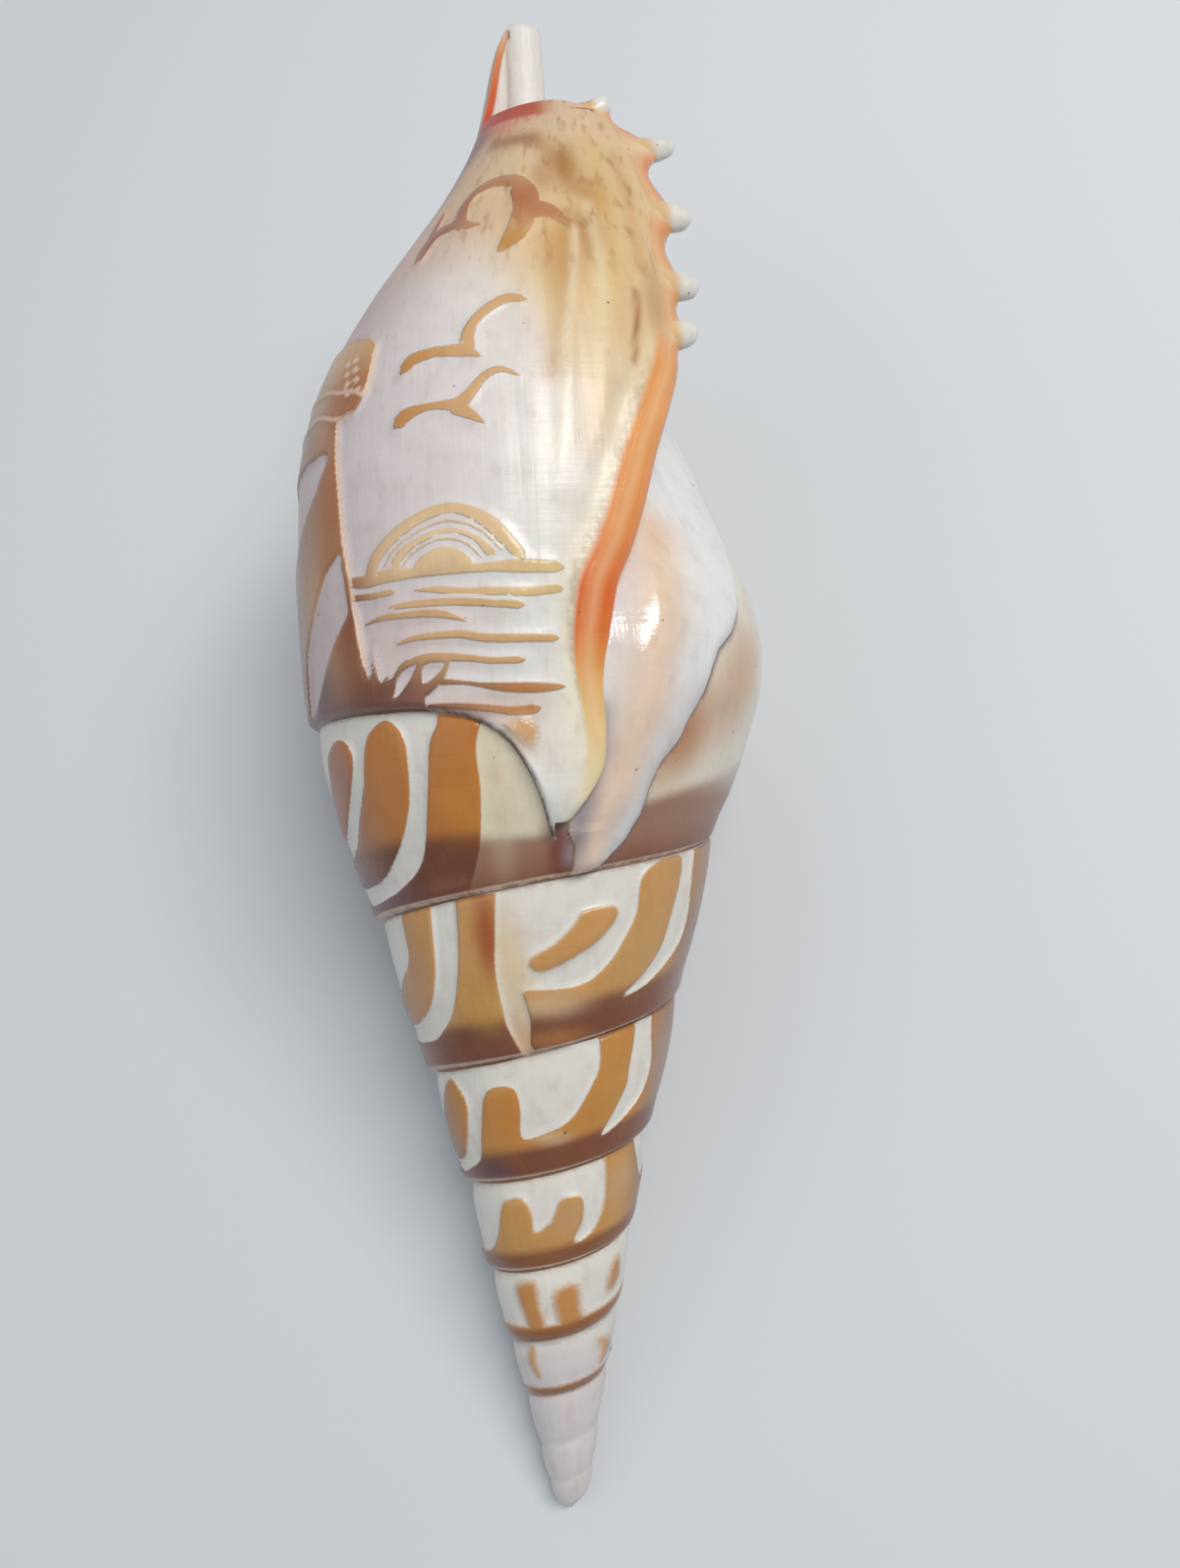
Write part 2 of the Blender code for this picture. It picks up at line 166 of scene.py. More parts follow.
# Outlines of the body whorl, by turn: radius by height
BODY_OUTLINES = {
    5.5: [(50.2, 12.9), (58, 16.4), (65.8, 17.6), (72, 17.4), (80, 15.0), (90, 11.5), (100, 8.5),
          (115, 5.5), (130, 3.2), (140, 2.2), (150, 2.0)],
    6.0: [(58.7, 15.5), (64, 17.5), (70, 19.3), (76, 20.5), (82, 20.4), (88, 18.8), (95, 15.6),
          (103, 11.6), (113, 8.0), (125, 4.6), (138, 2.3), (150, 2.0)],
    6.5: [(58, 14.8), (65.8, 17.6), (70.2, 20.0), (75.2, 22.0), (80.2, 23.6), (84.5, 24.0), (88.5, 23.4),
          (92.2, 22.1), (97.8, 19.7), (104.5, 16.9), (111, 12.8), (118, 9.3), (125, 6.3), (131, 3.6),
          (138, 2.3), (150, 2.0)],
    6.75: [(60, 15.8), (72, 19.5), (78.7, 21.6), (85, 22.7), (91, 22.7), (97, 21.8), (103, 19.8),
           (108, 17.5), (113, 14.8), (118, 11.9), (123, 8.9), (128, 6.4), (133, 4.8), (138, 3.8),
           (143, 3.2), (150, 2.1)],
    7.0: [(66, 17.8), (78.7, 21.1), (81, 21.6), (85, 21.8), (93, 21.9), (99, 21.6), (103, 21.0),
          (108, 19.7), (113, 17.6), (118, 14.8), (123, 11.5), (128, 8.2), (133, 6.1), (138, 5.0),
          (143, 4.1), (148, 2.8), (150, 1.9)],
    7.1: [(66, 18.8), (78.7, 21.6), (81, 22.1), (85, 22.4), (93, 22.6), (99, 22.5), (103, 21.9),
          (108, 20.7), (113, 18.6), (118, 15.7), (123, 12.2), (128, 9.0), (133, 6.8), (138, 5.4),
          (143, 4.3), (148, 2.9), (150, 1.9)],
    7.25: [(66, 20.4), (73, 21.9), (79, 22.9), (84, 23.9), (90, 24.6), (97, 24.9), (104, 24.4),
           (110, 23.2), (116, 21.0), (122, 18.2), (128, 14.8), (134, 11.4), (138, 9.4), (143, 7.0),
           (150, 4.0)],
    7.4: [(66, 21.5), (79, 23.4), (84, 24.2), (90, 25.0), (97, 25.3), (104, 25.0), (110, 24.2),
          (116, 23.0), (122, 21.6), (128, 19.6), (134, 16.6), (138, 14.0), (143, 10.0), (150, 5.0)],
}
# Edge of the outer lip by its share from the lobe to the canal tip: angle and height
LIP_EDGE = [
    (0.0, LIP_ANGLE, 66.6), (0.075, 13.0, 73.2), (0.155, 10.3, 82.0), (0.20, 11.5, 86.7),
    (0.25, 16.0, 91.0), (0.33, 22.7, 99.0), (0.42, 32.0, 107.8), (0.49, 35.3, 113.4), (0.55, 36.5, 119.0),
    (0.61, 38.0, 125.0), (0.665, 36.5, 129.8), (0.70, 33.0, 132.8), (0.735, 27.0, 134.3),
    (0.78, 8.0, 134.6), (0.82, -12.0, 135.2), (0.855, -32.0, 136.0), (0.90, -55.0, 139.6),
    (1.0, -62.0, LENGTH),
]
# Height of the front margin, by angle
FRONT_MARGIN = Curve([(-62, 141.0), (-55, 139.6), (-32, 136.0), (-12, 135.2), (8, 134.6), (27, 134.3)])


@dataclass(frozen=True)
class ShellForm:
    """The grown form as functions of turn and height, the same as the solid's."""

    spire_bulge: float = 0.15
    spire_ends: tuple[float, float] = (5.8, 6.1)
    spire_last_turn: float = 6.2
    seat_step: float = 0.9
    seat_rise: float = 0.35
    canal_shift: float = 3.2
    canal_bend: tuple[float, float] = (118.0, 144.0)
    canal_width: float = 0.07
    lobe_row_rise: float = 0.05
    swell_power: float = 0.9
    lift_power: float = 1.2
    canal_lift: float = 1.2
    canal_widens: Span = (0.85, 1.0)
    rows_leave: Span = (0.0, 0.30)
    rows_return: Span = (0.72, 1.0)
    edge_angle: Curve = Curve([(share, angle) for share, angle, _ in LIP_EDGE])
    edge_height: Curve = Curve([(share, height) for share, _, height in LIP_EDGE])
    far_row: Curve = Curve([
        (0, 0), (0.155, 0.11), (0.33, 0.30), (0.49, 0.47), (0.61, 0.61), (0.70, 0.695), (0.735, 0.73),
        (0.855, 0.82), (0.90, 0.865), (1, 1),
    ])
    turns: tuple[float, ...] = tuple(sorted(BODY_OUTLINES))
    outlines: tuple[Curve, ...] = tuple(Curve(BODY_OUTLINES[turn]) for turn in sorted(BODY_OUTLINES))

    def spire_radius(self, turn: Array, height: Array) -> Array:
        """Radius of a spire whorl: the cone, and a swelling between its two sutures."""
        low, high = SUTURE(turn), SUTURE(turn + 1)
        share = np.clip((height - low) / (high - low), 0.0, 1.0)
        swell = np.clip(np.sin(np.pi * share), 0.0, 1.0) ** self.swell_power
        return CONE(height) + self.spire_bulge * (CONE(high) - CONE(low)) * swell

    def body_radius(self, turn: Array, height: Array) -> Array:
        """Radius of the body whorl, blended between the outlines on each side of the turn."""
        values = np.stack([line(height) for line in self.outlines])
        knots = np.array(self.turns)
        gaps = np.diff(knots)
        rise = np.diff(values, axis=0) / gaps[:, None]
        slope = np.empty_like(values)
        slope[0], slope[-1] = rise[0], rise[-1]
        weighted = rise * gaps[:, None]
        slope[1:-1] = (weighted[:-1] + weighted[1:]) / (gaps[:-1] + gaps[1:])[:, None]
        turn = np.clip(turn, knots[0], knots[-1])
        k = np.clip(np.searchsorted(knots, turn, side="right") - 1, 0, len(gaps) - 1)
        u = (turn - knots[k]) / gaps[k]
        here = np.arange(len(turn))
        return (
            values[k, here] * (1 + 2 * u) * (1 - u) ** 2
            + gaps[k] * slope[k, here] * u * (1 - u) ** 2
            + values[k + 1, here] * u * u * (3 - 2 * u)
            + gaps[k] * slope[k + 1, here] * u * u * (u - 1)
        )

    def radius(self, turn: Array, height: Array) -> Array:
        """Radius of the outer surface. The last part is thin where it sits on the whorl before."""
        share = ease(*self.spire_ends, turn)
        spire = self.spire_radius(np.minimum(turn, self.spire_last_turn), height)
        radius = (1 - share) * spire + share * self.body_radius(turn, height)
        seated = turn > SEATED_FROM
        if seated.any():
            above = np.maximum(height - SUTURE(np.minimum(turn, LAST_TURN)), 0.0)
            before = self.radius(np.minimum(turn - 1, SEATED_FROM), height)
            seat = before + self.seat_step + self.seat_rise * above
            radius = np.where(seated, np.minimum(radius, seat), radius)
        return radius

    def middle(self, height: Array) -> Array:
        """How far the canal bends to the right of the coiling axis."""
        return self.canal_shift * ease(*self.canal_bend, height)

    def place(self, turn: Array, height: Array, radius: Array) -> Array:
        """Points in the shell's own axes: right, towards the canal, up."""
        angle = 2 * np.pi * (turn - 7) - np.pi / 2
        return np.stack([self.middle(height) + radius * np.sin(angle), height, radius * np.cos(angle)], -1)

    def lift(self, share: Array) -> Array:
        """Height of the body's first row over the suture."""
        over_lobe = SUTURE(LAST_TURN) - SUTURE(LAST_TURN - 1)
        near = (1 - share) ** self.lift_power
        return over_lobe * near + self.canal_lift * (1 - near)

    def body_turn(self, step: Array, share: Array) -> Array:
        """Turn of a point of the body whorl, by its share of the lip's length and of the last turn."""
        canal = self.canal_width * ease(*self.canal_widens, step)
        return turn_of(LAST_WHORL, self.edge_angle(step)) - 1 + canal * (1 - share) + share

    def body_height(self, step: Array, share: Array) -> Array:
        """Height of a point of the body whorl, by the same two shares. It starts at the suture."""
        foot = SUTURE(LAST_TURN - 1 + share) + self.lift(share)
        lobe = self.edge_height(0.0) + self.lift(np.array(1.0))
        near = np.maximum((self.edge_height(step) - lobe) / (LENGTH - lobe), self.lobe_row_rise * step)
        leave, reach = ease(*self.rows_leave, share), ease(*self.rows_return, share)
        up = (1 - leave) * near + leave * ((1 - reach) * self.far_row(step) + reach * near)
        return foot + (LENGTH - foot) * up


FORM = ShellForm()
# Angle by height of the right edge of the last bar, where the uncarved surface starts
BAR_EDGE = Curve([
    (57, -40), (59.4, -33), (61.7, -22.5), (64.8, -17.5), (67.3, -14.8), (70.9, -13), (76, -12), (80, -10),
])
# Angle of the lip's edge by height, on its lower part
LIP_BY_HEIGHT = Curve([
    (60, 4), (66.6, 5), (73.2, 13), (82, 12), (86.7, 13), (91, 16), (99, 22.7), (107.8, 32), (113.4, 35.3),
])
# Number of pieces that a run between two points of a figure is rounded into
ROUNDED_INTO = 4
# Radius of each whorl in millimetres, which turns degrees into widths of figures
WHORL_RADIUS = {7: 22.0, 6: 18.5, 5: 14.0, 4: 10.5, 3: 8.0, 2: 6.0, 1: 4.6}


class Mark(Enum):
    """What a figure does to the skin."""

    RAISED = "raised brown layer"
    CUT = "taken out of the brown layer"
    LINE = "fine pale or dark line"
    CALLUS = "callus laid over the whorl before"


@dataclass(frozen=True)
class Figure:
    """One figure drawn on a whorl, as a closed outline or as a stroke with a width.

    Args:
        whorl: number of the whorl, 7 for the last.
        points: (angle, height) of an outline, or (angle, height, half width) of a stroke.
        mark: what the figure does to the skin.
        soft: half width of its edge in millimetres.
    """

    whorl: int
    points: Points
    mark: Mark = Mark.RAISED
    soft: float = EDGE_SOFT

    def depth_inside(self, angle: Array, height: Array) -> Array:
        """Millimetres from each point to the figure's edge, positive inside."""
        scale = math.radians(WHORL_RADIUS[self.whorl])
        here = np.stack([angle * scale, height], -1)
        knots = np.array([(p[0] * scale, p[1]) for p in self.points])
        if len(self.points[0]) == 3:
            return self.stroke_depth(here, knots, np.array([p[2] for p in self.points]))
        distance = np.full(len(here), 1e9)
        inside = np.zeros(len(here), bool)
        for one, other in zip(knots, np.roll(knots, -1, axis=0)):
            distance = np.minimum(distance, self.to_segment(here, one, other)[0])
            if one[1] != other[1]:
                crosses = (one[1] > here[:, 1]) != (other[1] > here[:, 1])
                at = one[0] + (here[:, 1] - one[1]) / (other[1] - one[1]) * (other[0] - one[0])
                inside ^= crosses & (here[:, 0] < at)
        return np.where(inside, distance, -distance)

    def stroke_depth(self, here: Array, knots: Array, widths: Array) -> Array:
        """The same for a stroke of changing width."""
        best = np.full(len(here), -1e9)
        for k in range(len(knots) - 1):
            distance, along = self.to_segment(here, knots[k], knots[k + 1])
            best = np.maximum(best, widths[k] + (widths[k + 1] - widths[k]) * along - distance)
        return best

    def line_at(self, middle: Array, corners: Array) -> tuple[Array, Array]:
        """A stroke's middle line as each face sees it.

        Args:
            middle: angle and height of each face's middle.
            corners: angle and height of each face's corners.

        Returns:
            Signed millimetres from the line, and the half width there, at each corner.
        """
        scale = np.array([math.radians(WHORL_RADIUS[self.whorl]), 1.0])
        knots = np.array([p[:2] for p in self.points]) * scale
        widths = np.array([p[2] for p in self.points])
        distances = [self.to_segment(middle * scale, one, other)[0] for one, other in zip(knots, knots[1:])]
        best = np.argmin(distances, axis=0)
        run = np.diff(knots, axis=0)
        length = np.maximum(np.linalg.norm(run, axis=1), 1e-6)
        run, length, one = (run / length[:, None])[best], length[best], knots[best]
        offset = corners * scale - one[:, None]
        along = (offset * run[:, None]).sum(-1)
        across = offset[..., 0] * run[:, None, 1] - offset[..., 1] * run[:, None, 0]
        share = np.clip(along / length[:, None], -0.3, 1.3)
        width = widths[best][:, None] + (widths[best + 1] - widths[best])[:, None] * share
        before = np.where((best == 0)[:, None], np.maximum(-along, 0.0), 0.0)
        after = np.where((best == len(widths) - 2)[:, None], np.maximum(along - length[:, None], 0.0), 0.0)
        return across, width - before - after

    @staticmethod
    def to_segment(here: Array, one: Array, other: Array) -> tuple[Array, Array]:
        """Distance to a straight piece, and the share of it at the nearest point."""
        run = other - one
        along = np.clip((here - one) @ run / max(float(run @ run), 1e-9), 0.0, 1.0)
        return np.linalg.norm(here - one - along[:, None] * run, axis=-1), along


def run_through(before: Array, one: Array, other: Array, after: Array, u: float) -> Array:
    """A smooth run from one point to the other, led by the points before and after them."""
    square = (2 * before - 5 * one + 4 * other - after) * u**2
    cube = (3 * one - before - 3 * other + after) * u**3
    return 0.5 * (2 * one + (other - before) * u + square + cube)


def smoothed(points: Points) -> list[tuple[float, ...]]:
    """A stroke's points with rounded ones between them."""
    knots = np.array(points, float)
    padded = np.vstack([2 * knots[0] - knots[1], knots, 2 * knots[-1] - knots[-2]])
    result = []
    for at in np.linspace(0, len(knots) - 1, (len(knots) - 1) * ROUNDED_INTO + 1):
        k = min(int(at), len(knots) - 2)
        result.append(tuple(run_through(*padded[k : k + 4], at - k)))
    return result


def rounded(figure: Figure) -> Figure:
    """An outline with its corners rounded, or a stroke as it is."""
    if len(figure.points[0]) == 3:
        return figure
    knots = np.array(figure.points, float)
    before, after, later = (np.roll(knots, k, axis=0) for k in (1, -1, -2))
    rows = [run_through(before, knots, after, later, u) for u in np.arange(ROUNDED_INTO) / ROUNDED_INTO]
    return Figure(figure.whorl, np.stack(rows, 1).reshape(-1, 2).tolist(), figure.mark, figure.soft)


def stroke(whorl: int, points: Points, mark: Mark = Mark.RAISED, soft: float = EDGE_SOFT) -> Figure:
    """A stroke with a smooth run."""
    return Figure(whorl, smoothed(points), mark, soft)


def shifted(figure: Figure, by: float) -> Figure:
    """The same figure further round the whorl."""
    return Figure(figure.whorl, [(p[0] + by, *p[1:]) for p in figure.points], figure.mark, figure.soft)


def gulls() -> list[Figure]:
    """Two flying gulls over the sea, and the pair near the canal."""
    first = [
        stroke(7, [(-22.4, 106.7, 0.59), (-20.3, 107.4, 0.59), (-15.2, 107.6, 0.47), (-10.9, 107.4, 0.55),
                   (-8.3, 107.3, 0.65)]),
        stroke(7, [(-8.2, 107.2, 0.65), (-8, 108.6, 0.55), (-6.4, 110, 0.44), (-2.8, 111.2, 0.42),
                   (0.6, 111.8, 0.42), (3.8, 111.6, 0.29)]),
        stroke(7, [(-9.5, 107.3, 0.52), (-7.4, 107, 0.39), (-5.6, 106.6, 0.13)]),
    ]
    second = [
        stroke(7, [(-23.6, 102, 0.65), (-21.6, 102.5, 0.6), (-17.7, 102.8, 0.34), (-13.5, 102.7, 0.36),
                   (-10.2, 102.5, 0.68)]),
        stroke(7, [(-10.4, 102.4, 0.72), (-7.9, 103.3, 0.44), (-4.9, 104.7, 0.34), (-1.6, 105.2, 0.26),
                   (2, 104.6, 0.07)]),
        stroke(7, [(-10.4, 102.3, 0.65), (-7.3, 101.4, 0.36), (-5.1, 100.7, 0.08)]),
    ]
    near_canal = [
        stroke(7, [(-24.5, 118.7, 0.8), (-22.2, 120.2, 0.8), (-19, 121, 0.6), (-13.5, 121.2, 0.6)]),
        stroke(7, [(-22.6, 121, 0.45), (-22, 122.4, 0.45), (-21.2, 123.7, 0.3)]),
        stroke(7, [(-12.7, 121.2, 0.7), (-10, 120.7, 0.5), (-5.6, 120.3, 0.1)]),
        stroke(7, [(-12, 120.9, 0.8), (-12.6, 122.8, 0.75), (-11.4, 124.2, 0.62), (-7.8, 125.2, 0.6),
                   (-1.9, 125.5, 0.7), (3.4, 125, 0.8), (5.6, 124.2, 1)]),
        stroke(7, [(4.6, 124.2, 1.2), (6.2, 123, 1.35), (6.2, 121.4, 1.25), (4.8, 119.8, 1.1),
                   (2.4, 118.2, 0.85), (-0.7, 116.9, 0.3)]),
        stroke(7, [(6.8, 121, 1), (10, 121.2, 0.95), (13.2, 120.8, 0.7), (16.4, 119.3, 0.1)]),
    ]
    return first + second + near_canal


def half_sun() -> list[Figure]:
    """Half sun with two rings over the horizon."""
    return [
        stroke(7, [(-32.6, 89.6, 0.62), (-30.4, 91.1, 0.53), (-25, 92.6, 0.5), (-19, 93.6, 0.45),
                   (-14, 94, 0.43), (-10, 93.7, 0.43), (-5.6, 92.6, 0.55), (-2.2, 91, 0.5),
                   (0.4, 89.6, 0.44)]),
        stroke(7, [(-26.2, 89.8, 0.43), (-24.2, 90.8, 0.38), (-20.6, 91.6, 0.28), (-16, 92.1, 0.25),
                   (-12, 92.1, 0.2), (-8, 91.3, 0.22), (-5.2, 90, 0.38)]),
        Figure(7, [(-22.8, 88.9), (-20.4, 90.1), (-17.4, 90.75), (-14.5, 90.95), (-11.8, 90.6),
                   (-9.6, 89.9), (-7.8, 88.6)]),
        stroke(7, [(-28.8, 89.9, 0.08), (-26, 91.2, 0.1), (-21, 92.3, 0.1), (-15.5, 92.95, 0.1),
                   (-11, 92.8, 0.1), (-6.6, 91.8, 0.1), (-3.4, 90.3, 0.08)], soft=0.14),
        stroke(7, [(-24.4, 89.6, 0.06), (-21.8, 90.7, 0.08), (-17.4, 91.45, 0.08), (-13.6, 91.55, 0.08),
                   (-10, 91, 0.08), (-7.2, 89.8, 0.06)], soft=0.14),
        stroke(7, [(-39.6, 89.5, 0.4), (-34.2, 89.2, 0.53), (-28.9, 89.3, 0.53), (-20, 89.1, 0.38),
                   (-13.7, 88.9, 0.28), (-5.2, 88.9, 0.38), (-0.1, 88.8, 0.53), (7.4, 88.6, 0.45)]),
    ]


def sea_lines() -> list[Figure]:
    """Wave lines between the horizon and the suture."""
    return [
        stroke(7, [(-39.2, 88.1, 0.26), (-33, 87.9, 0.26), (-27, 87.9, 0.2)]),
        stroke(7, [(-21.6, 87.7, 0.06), (-16.3, 87.5, 0.26), (-11.6, 87.1, 0.32), (-4, 86.9, 0.32),
                   (1.6, 86.7, 0.34), (7.3, 86.9, 0.36)]),
        stroke(7, [(-28.2, 86.6, 0.14), (-22.3, 86.6, 0.28), (-13.8, 86.4, 0.3), (-6, 86, 0.3),
                   (-0.3, 85.7, 0.34)]),
        stroke(7, [(-35.7, 85.6, 0.05), (-29.8, 85.9, 0.22), (-22.5, 85.8, 0.3), (-16.1, 85.5, 0.3),
                   (-11, 84.7, 0.06)]),
        stroke(7, [(-27.4, 83.5, 0.06), (-23.1, 83.8, 0.22), (-17.4, 83.8, 0.26), (-12.4, 83.7, 0.3),
                   (-6.6, 83.2, 0.34), (6.2, 82.9, 0.3)]),
        stroke(7, [(-26.4, 81.7, 0.12), (-21.4, 82.1, 0.3), (-16.2, 82, 0.32), (-10.8, 81.7, 0.26),
                   (-6.5, 81.4, 0.26), (-0.6, 81.3, 0.28)]),
        stroke(7, [(-18.8, 80.1, 0.3), (-13, 79.8, 0.16), (-9.3, 79.5, 0.2), (-4.6, 79.2, 0.36),
                   (2.2, 79, 0.42), (7.6, 79, 0.2)]),
        stroke(7, [(-21.6, 78.1, 0.2), (-14.8, 77.9, 0.24), (-7.3, 77.5, 0.28), (-2.5, 77.2, 0.36),
                   (1.9, 77.3, 0.4)]),
        Figure(7, [(-5, 76.2), (-1.6, 76.6), (1.6, 76.3), (2, 75.2), (0.4, 74.2), (-2.6, 75.1)], soft=0.5),
    ]


def lighthouse() -> list[Figure]:
    """Striped lighthouse on its dark ground, with grass blades to its right."""
    tower = Figure(7, [
        (-33.4, 105.7), (-36, 104.4), (-43.2, 104.3), (-42.5, 101.7), (-41.2, 98.1), (-40.4, 93.2),
        (-39.1, 90.1), (-38.3, 86.6), (-37.1, 82.2), (-36.6, 80.8), (-35.3, 81.2), (-34.2, 83.4),
        (-33.4, 80.6), (-32.2, 80.4), (-31.1, 81.1), (-29.9, 80.6), (-27.6, 81.6), (-25.6, 82.1),
        (-22, 82.2), (-14.6, 82), (-16.8, 80.4), (-18.9, 79.6), (-21.8, 78.9), (-22.6, 77.2), (-24, 75),
        (-118, 74), (-114, 81), (-103, 84), (-99, 104), (-101, 107.6), (-58, 108.3), (-43.2, 106.8),
    ])
    lantern = Figure(7, [
        (-33.4, 105.6), (-31.9, 110.1), (-34.8, 111.2), (-43, 112.3), (-58, 112.9), (-84, 112.6),
        (-92, 107.6), (-58, 108.2), (-43.2, 106.8),
    ])
    top_stripe = Figure(7, [
        (-46.2, 100.8), (-51.3, 98.6), (-59.3, 96.6), (-67, 94.6), (-80, 91.6), (-98, 89), (-98, 99),
        (-80, 101.4), (-68.4, 101.7), (-57.8, 101.9), (-48.4, 101.8), (-46.3, 101.4),
    ], Mark.CUT)
    low_stripe = Figure(7, [
        (-41.9, 92.3), (-40.5, 86.9), (-45.6, 85.2), (-49.9, 83.6), (-55.7, 81.2), (-62, 79.2), (-69, 78.9),
        (-66.4, 81.6), (-63.2, 84.9), (-55.7, 88.1), (-48.1, 91),
    ], Mark.CUT)
    blades = [
        Figure(7, [(-30, 79), (-28.7, 80.5), (-26.6, 81.3), (-22.6, 81.8), (-24.9, 80.5),
                   (-28.2, 79.3)], Mark.CUT),
        Figure(7, [(-22.3, 80), (-22, 81.2), (-20.7, 81.7), (-15.9, 81.6), (-18.4, 80.6),
                   (-20.6, 80.1)], Mark.CUT),
    ]
    return [tower, lantern, top_stripe, low_stripe, *blades]


def fine_lines() -> list[Figure]:
    """Fine pale lines at the edges of the lighthouse and its galleries."""
    runs = [
        [(-43, 104.2), (-42.3, 101.7), (-41, 98.1), (-40.2, 93.2), (-38.9, 90.1), (-38.1, 86.6),
         (-36.9, 82.1)],
        [(-31.6, 110.2), (-32.3, 107.1), (-33.6, 105.5)],
        [(-33.6, 105.5), (-38, 106.4), (-43.2, 106.9), (-50, 107.8), (-58, 108.4), (-74, 108.8),
         (-92, 107.8)],
        [(-36.8, 104.3), (-43.3, 104.4), (-52.4, 105.7), (-60, 106), (-76, 105.6), (-96, 104.2)],
    ]
    windows = [
        [(column - 0.9 * row, 107.3 + 1.05 * row), (column - 1.5 - 0.9 * row, 107.4 + 1.05 * row)]
        for column in (-36, -39.6) for row in range(-1, 3)
    ]
    return [
        stroke(7, [(*spot, width) for spot in run], Mark.LINE, 0.14)
        for width, some in ((0.16, runs), (0.24, windows)) for run in some
    ]


